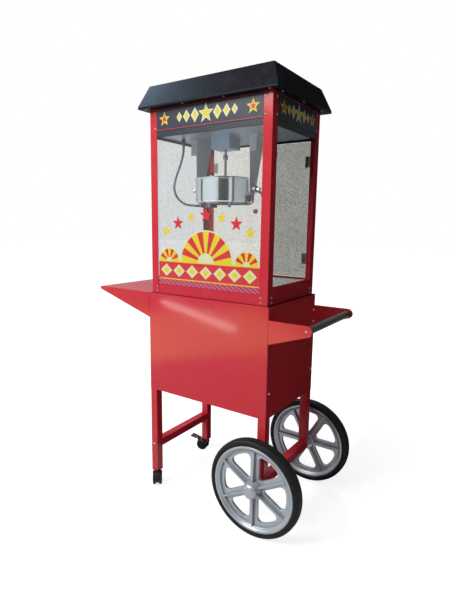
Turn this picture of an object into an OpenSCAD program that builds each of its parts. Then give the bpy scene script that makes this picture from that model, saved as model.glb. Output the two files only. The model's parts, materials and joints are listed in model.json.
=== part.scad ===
// Popcorn cart: a glass popcorn cabinet on a cart with two large wheels and two casters.
// Millimetres, +Z up, front towards -Y. The origin is on the ground, under the middle of the
// overall length and depth.

/* [Cart body] */
// Width of the cart body from side to side
body_w = 520; // [490:5:580]
// Depth of the cart body from front to back
body_d = 366; // [350:2:420]
// Height of the cart top above the ground
deck_z = 786; // [740:2:860]
// Height of the body's sheet panels
panel_h = 383; // [320:1:420]
// Thickness of the cart's and the cabinet's sheet metal
sheet = 1.2; // [0.8:0.1:1.6]
// Outer size of the square leg tube
tube = 30; // [26:1:34]
// Wall of the square leg tube
tube_wall = 1.5; // [1:0.1:2.5]
// Depth of the storage door's folded edges
door_depth = 14; // [8:1:20]

/* [Side shelf and handle] */
// Reach of the side shelf from the body to its outer edge
shelf_reach = 275; // [200:5:330]
// Height of the side shelf where it meets the body
shelf_h = 97; // [60:1:140]
// Radius of the shelf's rolled outer edge
shelf_edge_r = 6; // [4:0.5:12]
// Reach of the handle brackets from the body to their tips
handle_reach = 150; // [130:2:190]
// Height of the handle brackets where they meet the body
bracket_h = 80; // [70:1:110]
// Radius of the brackets' round tips
bracket_tip_r = 18; // [16:0.5:24]
// Thickness of the handle brackets
bracket_t = 3; // [2:0.5:5]
// Diameter of the handle bar
grip_d = 25; // [20:1:30]

/* [Wheels and casters] */
// Outer radius of the large wheels
wheel_r = 171; // [150:1:180]
// Radial thickness of the tyres
tyre_t = 20; // [10:1:22]
// Width of the tyres
tyre_w = 44; // [38:1:50]
// Number of spokes in a large wheel
spokes = 6; // [5:1:7]
// Diameter of the axle
axle_d = 16; // [12:1:18]
// Height of a caster from the ground to the leg
caster_h = 57; // [54:1:70]
// Radius of the caster wheels
caster_r = 25; // [20:1:26]

/* [Cabinet] */
// Width of the cabinet over its corner posts
cab_w = 500; // [470:5:540]
// Depth of the cabinet over its corner posts
cab_d = 350; // [335:2:400]
// Height of the cabinet from the cart top to the eaves
cab_h = 655; // [600:5:760]
// Height of the base's side sills
base_h = 60; // [52:1:90]
// Height of the base's front sill
front_sill_h = 35; // [24:1:46]
// Height of the header from its lower edge to the eaves
head_h = 94; // [84:1:130]
// Height of the sign panels
sign_h = 75; // [50:1:80]
// Width of a corner post's flanges
post = 32; // [26:1:40]
// Thickness of the corner posts
post_t = 1.5; // [1:0.1:2.5]
// Thickness of the glass and of the rear doors
glass_t = 4; // [3:0.5:5]
// Overhang of the roof beyond the posts
eave = 30; // [20:1:50]
// Height of the roof from eaves to flat top
roof_h = 80; // [50:1:120]

/* [Kettle] */
// Outer radius of the kettle
kettle_r = 108; // [90:1:112]
// Height of the kettle
kettle_h = 87; // [80:1:110]
// Distance of the kettle's rim below the ceiling
kettle_drop = 146; // [134:1:180]
// Radius of the kettle's trunnions
trunnion_r = 6; // [4:0.5:8]
// Radius of the drive and stirrer shafts
shaft_r = 5; // [4:0.5:6]

/* [Hidden] */
$fn = 48;

// Clearances
over = 1;
fit = 0.1;
run = 0.05;
gap = 0.3;

// Cart body
hb = body_w / 2;
hd = body_d / 2;
panel_z = deck_z - panel_h;
leg_x = hb - sheet - tube / 2;
leg_y = hd - sheet - tube / 2;
leg_face = hd - sheet;
door_half = hb - sheet - tube;
flange_w = 14;
rail_h = 30;
body_x = (shelf_reach - handle_reach) / 2;
axle_z = wheel_r;

// Bolts of the cart
bolt_r = 3;
bolt_head_r = 4.5;
bolt_head_h = 3.5;
bolt_tail = 3;
bolt_up = 88;

// Storage door
door_gap = 1.5;
door_z0 = panel_z + sheet + door_gap;
door_z1 = deck_z - rail_h - door_gap;
knob_r = 13;
knob_stem_r = 6;
knob_h = 22;
knob_in = 34;

// Butt hinges
leaf_t = 1.2;
leaf_w = 18;
leaf_h = 40;
pin_r = 1.5;
knuckle_r = 3;
knuckle_share = 0.3;
hinge_end_share = 0.16;

// Shelf and brackets
window_share = 0.3;
tip_steps = 12;

// Handle
handle_drop = 43;
handle_top = deck_z - handle_drop;
handle_x = hb + handle_reach - bracket_tip_r;
handle_z = handle_top - bracket_tip_r;
grip_r = grip_d / 2;
grip_wall = 2;
plug_len = 20;

// Large wheels
axle_r = axle_d / 2;
collar_r = 14;
collar_t = 12;
keeper_t = 5;
hub_r = 30;
hub_face_r = 24;
hub_front = 6;
bush_t = 3;
bush_len = 15;
rim_r = wheel_r - tyre_t;
rim_t = 11;
rim_in = 3;
rim_w = tyre_w - 2 * rim_in;
step_t = 8;
step_in = 5;
step_w = rim_w - 2 * step_in;
web_t = 12;
spoke_w = 27;
rib_w = 8;
rib_share = 0.85;
window_r = 9;
cap_r = 21;
cap_h = 13;
cap_wall = 2;
hub_in = leg_face + collar_t + gap;
wheel_y = hub_in + tyre_w / 2;
hub_out = hub_in + tyre_w + hub_front;
axle_half = hub_out + gap + keeper_t + over;

// Casters
trails = [310, 190];
trail = 18;
stem_r = 5;
stem_len = 30;
socket_t = 3;
fork_w = 12;
fork_top_r = 14;
pair_gap = 0.8;
twin_w = 12;
pin_caster_r = 4;
hood_gap = 1.6;
hood_t = 2;
pedal_x = 38;
pedal_up = 24;
pedal_z = caster_r + pedal_up;
pedal_r = 3;
pedal_len = 30;
pedal_t = 4;
pedal_w = 30;
cheek_t = 4;
cheek_r = 6;
pedal_tilt = 12;

// Cabinet
cx = cab_w / 2;
cy = cab_d / 2;
wx = cx - post_t;
wy = cy - post_t;
top_z = deck_z + cab_h;
head_z = top_z - head_h;
sign_z = top_z - sign_h;
lip = 8;
floor_z = deck_z + base_h - lip;
front_glass_z = deck_z + front_sill_h - lip;
ceil_z = head_z + lip;
gx = wx - sheet - gap;
gy = wy - sheet - gap;
door_clear = 1;
rear_stop = wy - glass_t - door_clear;
ledge_w = 14;
sign_t = 2;
slot_w = 6;
slot_len = 110;
slot_pitch = 18;
slots = 9;

// Crumb drawer
drawer_w = 240;
drawer_d = 260;
drawer_h = 36;
drawer_front_drop = 8;
drawer_front_h = base_h - drawer_front_drop;
drawer_front_t = 1.5;
drawer_front_side = 8;
pull_w = 70;
pull_h = 10;
pull_d = 14;

// Rear doors
rear_end = 3;
rear_side = 2;
rear_z0 = deck_z + base_h + rear_end;
rear_z1 = head_z - rear_end;
rear_half = cx - post - rear_side;
mid_gap = 1;
small_knob_r = 10;
small_knob_h = 18;
small_stem_r = 4;
small_knob_in = 18;
hinge_share = 0.14;

// Screws of the cabinet
screw_r = 1.6;
screw_head_r = 3.2;
screw_head_h = 1.8;
screw_in = 6;
screw_len = post_t + sheet - fit;
screw_low = 8;
screw_pitch = 17;
screw_up = 10;
screw_down = 12;
screw_zs = [deck_z + screw_low, deck_z + screw_low + screw_pitch, sign_z + screw_up, top_z - screw_down];

// Roof
eave_lip = 8;
ring_w = 62;

// Control panel and switches
rocker_w = 17;
rocker_h = 26;
rocker_d = 11;
rocker_out = 3;
rocker_pin_r = 1.5;
bezel_t = 3;
bezel_d = 16;
bezel_out = 2;
rocker_off = 8;
switch_z = top_z - head_h / 2;
switch_xs = [70, 110, 150];
inlet_x = -140;
inlet_w = 30;
inlet_h = 24;
inlet_d = 26;
inlet_rim = 4;
inlet_rim_t = 2;
inlet_wall = 3;

// Drive
kettle_x = -40;
kettle_y = 0;
box_w = 80;
box_d = 74;
box_h = 42;
neck_r = 18;
motor_r = 32;
motor_h = 58;
shaft_in = 24;
gear_r = 28;
gear_t = 12;
gear_gap = 1;
gear_up = 9;
sweep_gap = 2;
cup_r = 9;
cup_h = 15;
cup_floor = 7;
tongue_w = 4;
tongue_clear = 0.2;
tongue_gap = 2;
drive_gap = 4;

// Kettle
wall = 1.5;
bottom_t = 2;
bead_r = 3;
rim_z = ceil_z - kettle_drop;
pot_z = rim_z - kettle_h;
tilt_share = 0.46;
tilt_z = rim_z - kettle_h * tilt_share;
boss_r = 13;
boss_len = 4;
heater_h = 16;
plate_t = 4;
terminal_w = 44;
terminal_len = 46;
stat_r = 6;
heater_in = 10;
heater_r = kettle_r - heater_in;
gland_r = 7;
gland_len = 14;
gland_z = pot_z - heater_h / 2;
bar_w = 24;
bar_t = 3;
lid_t = 1.2;
lid_over = 1;
lid_r = kettle_r + lid_over;
lid_pin_r = 1.5;
barrel_r = 2.2;
ear_x = 60;
ear_t = 5;
lid_side = 1;
lid_axis_y = bar_w / 2 + lid_side;
lid_axis_z = rim_z + barrel_r + gap;
lid_knob_r = 7;
lid_knob_h = 12;
blade_r = 94;
blade_h = 7;
blade_t = 4;
blade_gap = 1.5;
paddle_h = 16;
paddle_len = 30;

// Hangers and lever
arm_gap = 8;
arm_t = 3;
arm_w = 44;
arm_in = kettle_r + arm_gap;
arm_out = arm_in + arm_t;
arm_flange = 25;
arm_flange_share = 0.3;
arm_back = 76;
foot_w = 22;
trunnion_out = arm_out + 30;
lever_gap = 1;
lever_hub_r = 12;
lever_hub_t = 16;
lever_r = 5;
lever_len = 122;
lever_drop = 14;
lever_grip_r = 10;
lever_grip_len = 62;

// Lamp
lamp_x = 140;
lamp_y = 10;
socket_r = 15;
socket_h = 28;
bulb_r = 27;
bulb_neck_r = 13;
bulb_h = 68;

// Armoured kettle lead
lead_r = 5;
lead_bore_share = 0.6;
lead_root_share = 0.8;
lead_sides = 8;
lead_ribs = 84;
gland_drop = 12;
lead_start_z = ceil_z - gland_drop;
lead_end_x = kettle_x - heater_r - gland_len;
route = [
    [-190, -60, 1354], [-190, -60, 1343], [-190, -60, 1332], [-190, -60, 1321], [-193, -61, 1296],
    [-204, -66, 1256], [-218, -72, 1216], [-226, -73, 1178], [-222, -60, 1143], [-208, -34, 1121],
    [-188, -10, 1115], [-172, 0, 1114], [-162, 0, 1114], [-152, 0, 1114], [-142, 0, 1114]
];

RED = "#b8202c";
BLACK = "#1c1d21";
SILVER = "#aeb4bb";
STEEL = "#c9ccd0";
GLASS = [0.75, 0.85, 0.9, 0.3];

// Box between two opposite corners
module block(lo, hi) {
    translate(lo) cube(hi - lo);
}

// Round bars along the three axes
module rod_x(x0, x1, y, z, r) {
    translate([x0, y, z]) rotate([0, 90, 0]) cylinder(r = r, h = x1 - x0);
}

module rod_y(y0, y1, x, z, r) {
    translate([x, y0, z]) rotate([-90, 0, 0]) cylinder(r = r, h = y1 - y0);
}

module rod_z(z0, z1, x, y, r) {
    translate([x, y, z0]) cylinder(r = r, h = z1 - z0);
}

// Turns +Z to point along X or Y, towards the side given by s
module aim_x(s) {
    rotate([0, 90 * s, 0]) children();
}

module aim_y(s) {
    rotate([-90 * s, 0, 0]) children();
}

// Everything is drawn about the middle of the cart body and moved to the part's frame here
module in_frame() {
    translate([body_x, 0, 0]) children();
}

// Corner of an outline rounded with an arc
function unit(v) = v / norm(v);
function corner(a, b, c, r, n) =
    let (u = unit(a - b), v = unit(c - b), half = acos(u * v) / 2)
    let (mid = b + unit(u + v) * r / sin(half))
    let (p = b + u * r / tan(half) - mid, q = b + v * r / tan(half) - mid)
    [for (i = [0 : n]) mid + r * unit(p * (n - i) + q * i)];
function rounded(pts, r, n) =
    [for (i = [0 : len(pts) - 1])
        each corner(pts[(i + len(pts) - 1) % len(pts)], pts[i], pts[(i + 1) % len(pts)], r, n)];

// Wedge seen from the front: flat top, round tip of radius r, straight lower edge, from y0 to y1
function wedge_end(reach, h, r) =
    let (d = [r - reach, r - h]) atan2(d[1], d[0]) + acos(r / norm(d));

module wedge(reach, h, r, y0, y1) {
    last = wedge_end(reach, h, r);
    tip = [for (i = [0 : tip_steps]) let (q = 90 + (last - 90) * i / tip_steps)
        [reach - r + r * cos(q), r * sin(q) - r]];
    translate([0, y1, 0]) rotate([90, 0, 0]) linear_extrude(height = y1 - y0)
        polygon(concat([[0, -h], [0, 0]], tip));
}

// Bolts of the cart: place on the face, side the head looks to, length of the shank
bolts_y = concat(
    [for (s = [-1, 1]) [[handle_x, s * hd, handle_z], s, bracket_t + plug_len * 0.6]],
    [for (s = [-1, 1]) [[-leg_x, s * leg_face, axle_z], s, tube + bolt_tail]]
);
bolts_x = concat(
    [for (s = [-1, 1], f = [0.2, 0.75])
        [[hb + bracket_t, s * leg_y, handle_top - bracket_h * f], 1,
         bracket_t + sheet + tube_wall + bolt_tail]],
    [for (s = [-1, 1], t = [-1, 1])
        [[t * hb, s * leg_y, panel_z + bolt_up], t, sheet + tube_wall + bolt_tail]],
    [for (s = [-1, 1])
        [[sheet - hb, s * leg_y * 0.6, deck_z - shelf_h / 2], 1, 2 * sheet + bolt_tail]]
);

module bolt_shape(head_r, head_h, r, length) {
    cylinder(r1 = head_r, r2 = head_r * 0.6, h = head_h);
    translate([0, 0, -length]) cylinder(r = r, h = length);
}

module bolt_holes() {
    for (b = bolts_y)
        translate(b[0]) aim_y(b[1]) translate([0, 0, -b[2] - over])
            cylinder(r = bolt_r + fit, h = b[2] + 2 * over);
    for (b = bolts_x)
        translate(b[0]) aim_x(b[1]) translate([0, 0, -b[2] - over])
            cylinder(r = bolt_r + fit, h = b[2] + 2 * over);
}

module cart_bolts() {
    color(STEEL) {
        for (b = bolts_y)
            translate(b[0]) aim_y(b[1]) bolt_shape(bolt_head_r, bolt_head_h, bolt_r, b[2]);
        for (b = bolts_x)
            translate(b[0]) aim_x(b[1]) bolt_shape(bolt_head_r, bolt_head_h, bolt_r, b[2]);
    }
}

// Square tubes standing up or lying from front to back, hollow
module tube_up(x, y, z0, z1) {
    translate([x, y, 0]) difference() {
        block([-tube / 2, -tube / 2, z0], [tube / 2, tube / 2, z1]);
        block([tube_wall - tube / 2, tube_wall - tube / 2, z0 - over],
              [tube / 2 - tube_wall, tube / 2 - tube_wall, z1 + over]);
    }
}

// Folded body: front, two sides and the strips that cover the rear legs, with a floor ledge
module cart_shell() {
    color(RED) difference() {
        union() {
            difference() {
                block([-hb, -hd, panel_z], [hb, hd, deck_z]);
                block([sheet - hb, sheet - hd, panel_z - over], [hb - sheet, hd - sheet, deck_z + over]);
                block([-door_half, 0, panel_z - over], [door_half, hd + over, deck_z + over]);
            }
            for (s = [-1, 1])
                translate([s * (hb - flange_w / 2), 0, 0])
                    block([-flange_w / 2, tube - leg_face, panel_z],
                          [flange_w / 2, leg_face - tube, panel_z + sheet]);
        }
        bolt_holes();
    }
}

// Cart top: a sheet on the four legs with a rail turned down above the storage door
module cart_deck() {
    color(RED) {
        block([sheet - hb, sheet - hd, deck_z - sheet], [hb - sheet, hd - sheet, deck_z]);
        block([-door_half, hd - sheet - over, deck_z - sheet], [door_half, hd, deck_z]);
        block([-door_half, hd - sheet, deck_z - rail_h], [door_half, hd, deck_z]);
    }
}

module storage_floor() {
    color(RED) difference() {
        block([sheet + gap - hb, sheet + gap - hd, panel_z + sheet],
              [hb - sheet - gap, hd - door_depth - gap, panel_z + 2 * sheet]);
        for (s = [-1, 1], t = [-1, 1])
            translate([s * leg_x, t * leg_y, panel_z])
                block([-tube / 2 - gap, -tube / 2 - gap, 0], [tube / 2 + gap, tube / 2 + gap, tube]);
    }
}

module storage_door() {
    color(RED) difference() {
        block([door_gap - door_half, hd - door_depth, door_z0], [door_half - door_gap, hd, door_z1]);
        block([door_gap - door_half + sheet, hd - door_depth - over, door_z0 + sheet],
              [door_half - door_gap - sheet, hd - sheet, door_z1 - sheet]);
    }
}

// Butt hinge with its pin on Z at the origin. The fixed leaf reaches to +X and holds the pin.
module fixed_leaf() {
    k = leaf_h * knuckle_share / 2;
    block([knuckle_r + gap, -knuckle_r, -leaf_h / 2], [leaf_w, leaf_t - knuckle_r, leaf_h / 2]);
    rod_z(-leaf_h / 2, leaf_h / 2, 0, 0, pin_r);
    for (s = [0, 1]) mirror([0, 0, s]) {
        block([0, -knuckle_r, k + gap], [knuckle_r + over, leaf_t - knuckle_r, leaf_h / 2]);
        rod_z(k + gap, leaf_h / 2, 0, 0, knuckle_r);
    }
}

// Moving leaf, reaching to -X, with the middle knuckle on the pin
module moving_leaf() {
    k = leaf_h * knuckle_share / 2;
    difference() {
        union() {
            block([-leaf_w, -knuckle_r, -leaf_h / 2],
                  [-knuckle_r - gap, leaf_t - knuckle_r, leaf_h / 2]);
            block([-knuckle_r - over, -knuckle_r, -k], [0, leaf_t - knuckle_r, k]);
            rod_z(-k, k, 0, 0, knuckle_r);
        }
        rod_z(-leaf_h, leaf_h, 0, 0, pin_r + run);
    }
}

module knob(r, stem, h) {
    cylinder(r = stem, h = h * 0.5);
    translate([0, 0, h * 0.4]) cylinder(r1 = r * 0.8, r2 = r, h = h * 0.35);
    translate([0, 0, h * 0.75]) cylinder(r1 = r, r2 = r * 0.75, h = h * 0.25);
}

// The storage door's hinges stand at its left edge, the rear doors' at the posts
storage_hinge_x = -door_half + door_gap / 2;
storage_hinge_zs = [for (f = [hinge_end_share, 1 - hinge_end_share]) door_z0 + (door_z1 - door_z0) * f];
rear_hinge_x = cx - post - rear_side / 2;
rear_hinge_zs = [for (f = [hinge_share, 1 - hinge_share]) rear_z0 + (rear_z1 - rear_z0) * f];

module storage_door_fittings() {
    color(STEEL) {
        for (z = storage_hinge_zs)
            translate([storage_hinge_x, hd + knuckle_r, z]) mirror([1, 0, 0]) moving_leaf();
        translate([door_half - knob_in, hd, (door_z0 + door_z1) / 2]) aim_y(1)
            knob(knob_r, knob_stem_r, knob_h);
    }
}

module hinge_leaves() {
    color(STEEL) {
        for (z = storage_hinge_zs)
            translate([storage_hinge_x, hd + knuckle_r, z]) mirror([1, 0, 0]) fixed_leaf();
        for (z = rear_hinge_zs, s = [0, 1])
            mirror([s, 0, 0]) translate([rear_hinge_x, cy + knuckle_r, z]) fixed_leaf();
    }
}

module left_legs() {
    color(RED) difference() {
        for (s = [-1, 1]) tube_up(-leg_x, s * leg_y, caster_h, deck_z - sheet);
        bolt_holes();
    }
}

module leg_crossbar() {
    half = leg_y - tube / 2;
    color(RED) difference() {
        translate([-leg_x, 0, axle_z]) difference() {
            block([-tube / 2, -half, -tube / 2], [tube / 2, half, tube / 2]);
            block([tube_wall - tube / 2, bolt_tail - half, tube_wall - tube / 2],
                  [tube / 2 - tube_wall, half - bolt_tail, tube / 2 - tube_wall]);
        }
        bolt_holes();
    }
}

// Right frame: two legs joined at the bottom by the tube that carries the axle
module axle_frame() {
    w = tube / 2 - tube_wall;
    low = axle_z - tube / 2;
    color(RED) difference() {
        union() {
            difference() {
                union() {
                    for (s = [-1, 1])
                        translate([leg_x, s * leg_y, 0])
                            block([-tube / 2, -tube / 2, low], [tube / 2, tube / 2, deck_z - sheet]);
                    translate([leg_x, 0, axle_z])
                        block([-tube / 2, -leg_y, -tube / 2], [tube / 2, leg_y, tube / 2]);
                }
                for (s = [-1, 1])
                    translate([leg_x, s * leg_y, 0])
                        block([-w, -w, low + tube_wall], [w, w, deck_z]);
                translate([leg_x, 0, axle_z]) block([-w, -leg_y - w, -w], [w, leg_y + w, w]);
            }
            for (s = [-1, 1])
                translate([0, s * leg_y, 0]) rod_y(-tube / 2, tube / 2, leg_x, axle_z, w);
        }
        rod_y(-hd, hd, leg_x, axle_z, axle_r + fit);
        bolt_holes();
    }
}

// Side shelf: a sheet wedge bolted to the left side through its inner wall, which has a window
module side_shelf() {
    color(RED) difference() {
        translate([-hb, 0, deck_z]) mirror([1, 0, 0]) difference() {
            wedge(shelf_reach, shelf_h, shelf_edge_r, -hd, hd);
            translate([sheet, 0, -sheet])
                wedge(shelf_reach - 2 * sheet, shelf_h - 3 * sheet, shelf_edge_r - sheet,
                      sheet - hd, hd - sheet);
            block([-over, -hd * window_share, -shelf_h * (1 - window_share)],
                  [over + sheet, hd * window_share, -shelf_h * window_share]);
        }
        bolt_holes();
    }
}

module handle_brackets() {
    color(RED) difference() {
        for (s = [0, 1]) mirror([0, s, 0]) {
            translate([hb, 0, handle_top])
                wedge(handle_reach, bracket_h, bracket_tip_r, -hd, bracket_t - hd);
            block([hb, -hd, handle_top - bracket_h], [hb + bracket_t, tube - hd, handle_top]);
        }
        bolt_holes();
    }
}

// Handle bar: a tube with closed ends that take the bracket bolts
module handle_bar() {
    half = hd - bracket_t;
    color(BLACK) difference() {
        rod_y(-half, half, handle_x, handle_z, grip_r);
        rod_y(plug_len - half, half - plug_len, handle_x, handle_z, grip_r - grip_wall);
        bolt_holes();
    }
}

module axle() {
    color(STEEL) rod_y(-axle_half, axle_half, leg_x, axle_z, axle_r);
}

// Spacing collars inside the wheels and keeper collars outside them
module axle_collars() {
    color(STEEL) for (s = [0, 1]) mirror([0, s, 0]) difference() {
        union() {
            rod_y(leg_face, leg_face + collar_t, leg_x, axle_z, collar_r);
            rod_y(hub_out + gap, hub_out + gap + keeper_t, leg_x, axle_z, collar_r);
        }
        rod_y(0, axle_half + over, leg_x, axle_z, axle_r + fit);
    }
}

// Large wheel about Z, outer side up. Turn is the angle of its first spoke.
hub_back = -tyre_w / 2;
hub_top = tyre_w / 2 + hub_front;

module at_wheel(s) {
    translate([leg_x, s * wheel_y, axle_z]) aim_y(s) children();
}

module wheel_shape(turn) {
    span = 360 / spokes;
    r0 = hub_r + spoke_w * 0.45;
    r1 = rim_r - rim_t - step_t;
    side0 = asin(spoke_w / 2 / r0);
    side1 = asin(spoke_w / 2 / r1);
    window = concat(
        [for (i = [0, 0.5, 1]) let (q = side1 + (span - 2 * side1) * i) r1 * [cos(q), sin(q)]],
        [for (i = [1, 0]) let (q = side0 + (span - 2 * side0) * i) r0 * [cos(q), sin(q)]]
    );
    difference() {
        union() {
            rotate_extrude() polygon([
                [rim_r - rim_t - step_t, -step_w / 2], [rim_r - rim_t, -step_w / 2],
                [rim_r - rim_t + rib_w / 4, -rim_w / 2], [rim_r - fit, -rim_w / 2],
                [rim_r - fit, rim_w / 2], [rim_r - rim_t + rib_w / 4, rim_w / 2],
                [rim_r - rim_t, step_w / 2], [rim_r - rim_t - step_t, step_w / 2]
            ]);
            difference() {
                translate([0, 0, -web_t / 2]) cylinder(r = rim_r - rim_t, h = web_t);
                for (k = [0 : spokes - 1]) rotate(turn + k * span)
                    translate([0, 0, -web_t]) linear_extrude(height = 2 * web_t)
                        polygon(rounded(window, window_r, 4));
            }
            for (k = [0 : spokes - 1]) rotate(turn + k * span)
                translate([hub_r / 2, -rib_w / 2, -step_w * rib_share / 2])
                    cube([rim_r - rim_t - step_t / 2 - hub_r / 2, rib_w, step_w * rib_share]);
            translate([0, 0, hub_back]) cylinder(r = hub_r, h = tyre_w * 0.75);
            translate([0, 0, hub_back + tyre_w * 0.75])
                cylinder(r1 = hub_r, r2 = hub_face_r, h = hub_top - hub_back - tyre_w * 0.75);
        }
        translate([0, 0, hub_back - over])
            cylinder(r = axle_r + bush_t + fit, h = hub_top - hub_back + 2 * over);
    }
}

module tyre_shape() {
    h = tyre_w / 2;
    rotate_extrude() polygon([
        [rim_r, -h * 0.9], [rim_r + tyre_t * 0.3, -h], [rim_r + tyre_t * 0.7, -h * 0.95],
        [wheel_r - tyre_t * 0.08, -h * 0.7], [wheel_r, -h * 0.4],
        [wheel_r, -h * 0.14], [wheel_r - tyre_t * 0.1, -h * 0.1],
        [wheel_r - tyre_t * 0.1, h * 0.1], [wheel_r, h * 0.14],
        [wheel_r, h * 0.4], [wheel_r - tyre_t * 0.08, h * 0.7],
        [rim_r + tyre_t * 0.7, h * 0.95], [rim_r + tyre_t * 0.3, h], [rim_r, h * 0.9]
    ]);
}

module bush_shape() {
    for (z = [hub_back, hub_top - bush_len])
        translate([0, 0, z]) difference() {
            cylinder(r = axle_r + bush_t, h = bush_len);
            translate([0, 0, -over]) cylinder(r = axle_r + run, h = bush_len + 2 * over);
        }
}

module cap_shape() {
    translate([0, 0, hub_top]) difference() {
        union() {
            cylinder(r = cap_r, h = cap_h * 0.6);
            translate([0, 0, cap_h * 0.6]) cylinder(r1 = cap_r, r2 = cap_r * 0.8, h = cap_h * 0.4);
        }
        translate([0, 0, -over]) cylinder(r = collar_r + over, h = cap_h - cap_wall + over);
    }
}

module wheel_front() {
    color(SILVER) at_wheel(-1) wheel_shape(30);
}

module wheel_rear() {
    color(SILVER) at_wheel(1) wheel_shape(0);
}

module tyre_front() {
    color(BLACK) at_wheel(-1) tyre_shape();
}

module tyre_rear() {
    color(BLACK) at_wheel(1) tyre_shape();
}

module bushes_front() {
    color(STEEL) at_wheel(-1) bush_shape();
}

module bushes_rear() {
    color(STEEL) at_wheel(1) bush_shape();
}

module hub_cap_front() {
    color(SILVER) at_wheel(-1) cap_shape();
}

module hub_cap_rear() {
    color(SILVER) at_wheel(1) cap_shape();
}

// Casters: swivel axis on Z, trailing to +X, twin wheels beside a middle fork
module at_caster(i) {
    translate([-leg_x, (2 * i - 1) * leg_y, 0]) rotate([0, 0, trails[i]]) children();
}

module caster_sockets() {
    w = tube / 2 - tube_wall - fit;
    color(BLACK) for (s = [-1, 1]) translate([-leg_x, s * leg_y, 0]) difference() {
        union() {
            block([-w, -w, caster_h - socket_t], [w, w, caster_h + stem_len]);
            block([-tube / 2, -tube / 2, caster_h - socket_t], [tube / 2, tube / 2, caster_h]);
        }
        rod_z(caster_h - socket_t - over, caster_h + stem_len + over, 0, 0, stem_r + run);
    }
}

module fork_shape() {
    half = fork_w / 2;
    top = caster_h - socket_t - gap;
    hood_r = caster_r + hood_gap;
    side = half + pair_gap + twin_w;
    difference() {
        union() {
            rod_z(2 * caster_r + pair_gap, top, 0, 0, fork_top_r);
            rod_z(2 * caster_r + pair_gap, caster_h + stem_len, 0, 0, stem_r);
            difference() {
                union() {
                    block([0, -half, caster_r * 0.7], [trail, half, top]);
                    translate([trail, 0, caster_r]) rotate([90, 0, 0])
                        translate([0, 0, -half]) cylinder(r = caster_r * 0.8, h = fork_w);
                    block([trail, -half, caster_r], [pedal_x, half, pedal_z]);
                    translate([pedal_x, 0, pedal_z]) rotate([90, 0, 0])
                        translate([0, 0, -half]) cylinder(r = cheek_r, h = fork_w);
                }
            }
            translate([trail, 0, caster_r]) rotate([90, 0, 0]) {
                translate([0, 0, -side]) cylinder(r = pin_caster_r, h = 2 * side);
                difference() {
                    translate([0, 0, -side]) cylinder(r = hood_r + hood_t, h = 2 * side);
                    translate([0, 0, -side - over]) cylinder(r = hood_r, h = 2 * side + 2 * over);
                    translate([-2 * hood_r, -3 * hood_r, -side - over])
                        cube([4 * hood_r, 3 * hood_r + caster_r * 0.35, 2 * side + 2 * over]);
                    translate([pedal_x - trail - 2 * cheek_r, -hood_r, -side - over])
                        cube([2 * hood_r, 2 * hood_r, 2 * side + 2 * over]);
                }
                translate([0, 0, -half]) difference() {
                    cylinder(r = hood_r + hood_t, h = fork_w);
                    translate([-2 * hood_r, -3 * hood_r, -over])
                        cube([4 * hood_r, 3 * hood_r + caster_r * 0.35, fork_w + 2 * over]);
                }
            }
        }
        translate([pedal_x, 0, pedal_z]) rotate([90, 0, 0])
            translate([0, 0, -fork_w]) cylinder(r = pedal_r + run, h = 2 * fork_w);
    }
}

module twin_shape() {
    for (s = [0, 1]) mirror([0, s, 0])
        translate([trail, -fork_w / 2 - pair_gap, caster_r]) rotate([90, 0, 0]) difference() {
            union() {
                cylinder(r = caster_r, h = twin_w * 0.75);
                translate([0, 0, twin_w * 0.75])
                    cylinder(r1 = caster_r, r2 = caster_r * 0.85, h = twin_w * 0.25 - gap);
            }
            translate([0, 0, -over]) cylinder(r = pin_caster_r + run, h = twin_w + 2 * over);
        }
}

module brake_shape() {
    side = fork_w / 2 + pair_gap;
    arm = pedal_t * 0.35;
    translate([pedal_x, 0, pedal_z]) {
        rotate([90, 0, 0]) translate([0, 0, -side - cheek_t / 2])
            cylinder(r = pedal_r, h = 2 * side + cheek_t);
        for (s = [0, 1]) mirror([0, s, 0]) {
            rotate([90, 0, 0]) translate([0, 0, side]) cylinder(r = cheek_r * 0.8, h = cheek_t);
            rotate([0, -pedal_tilt, 0])
                block([0, side + cheek_t * 0.2, -arm], [cheek_r * 2.4, side + cheek_t * 0.8, arm]);
        }
        rotate([0, -pedal_tilt, 0])
            block([cheek_r * 1.4, -pedal_w / 2, -pedal_t / 2],
                  [cheek_r * 1.4 + pedal_len, pedal_w / 2, pedal_t / 2]);
    }
}

module caster_fork_front() {
    color(BLACK) at_caster(0) fork_shape();
}

module caster_fork_rear() {
    color(BLACK) at_caster(1) fork_shape();
}

module caster_wheels_front() {
    color(BLACK) at_caster(0) twin_shape();
}

module caster_wheels_rear() {
    color(BLACK) at_caster(1) twin_shape();
}

module caster_brake_front() {
    color(BLACK) at_caster(0) brake_shape();
}

module caster_brake_rear() {
    color(BLACK) at_caster(1) brake_shape();
}

// Screws of the cabinet: four on each flange of each corner post
module cabinet_screw_places() {
    for (s = [-1, 1], t = [-1, 1], z = screw_zs) {
        translate([s * (cx - post + screw_in), t * cy, z]) aim_y(t) children();
        translate([s * cx, t * (cy - post + screw_in), z]) aim_x(s) children();
    }
}

module screw_holes() {
    cabinet_screw_places()
        translate([0, 0, -screw_len - over]) cylinder(r = screw_r + fit, h = screw_len + 2 * over);
}

module cabinet_screws() {
    color(STEEL) cabinet_screw_places() bolt_shape(screw_head_r, screw_head_h, screw_r, screw_len);
}

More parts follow.
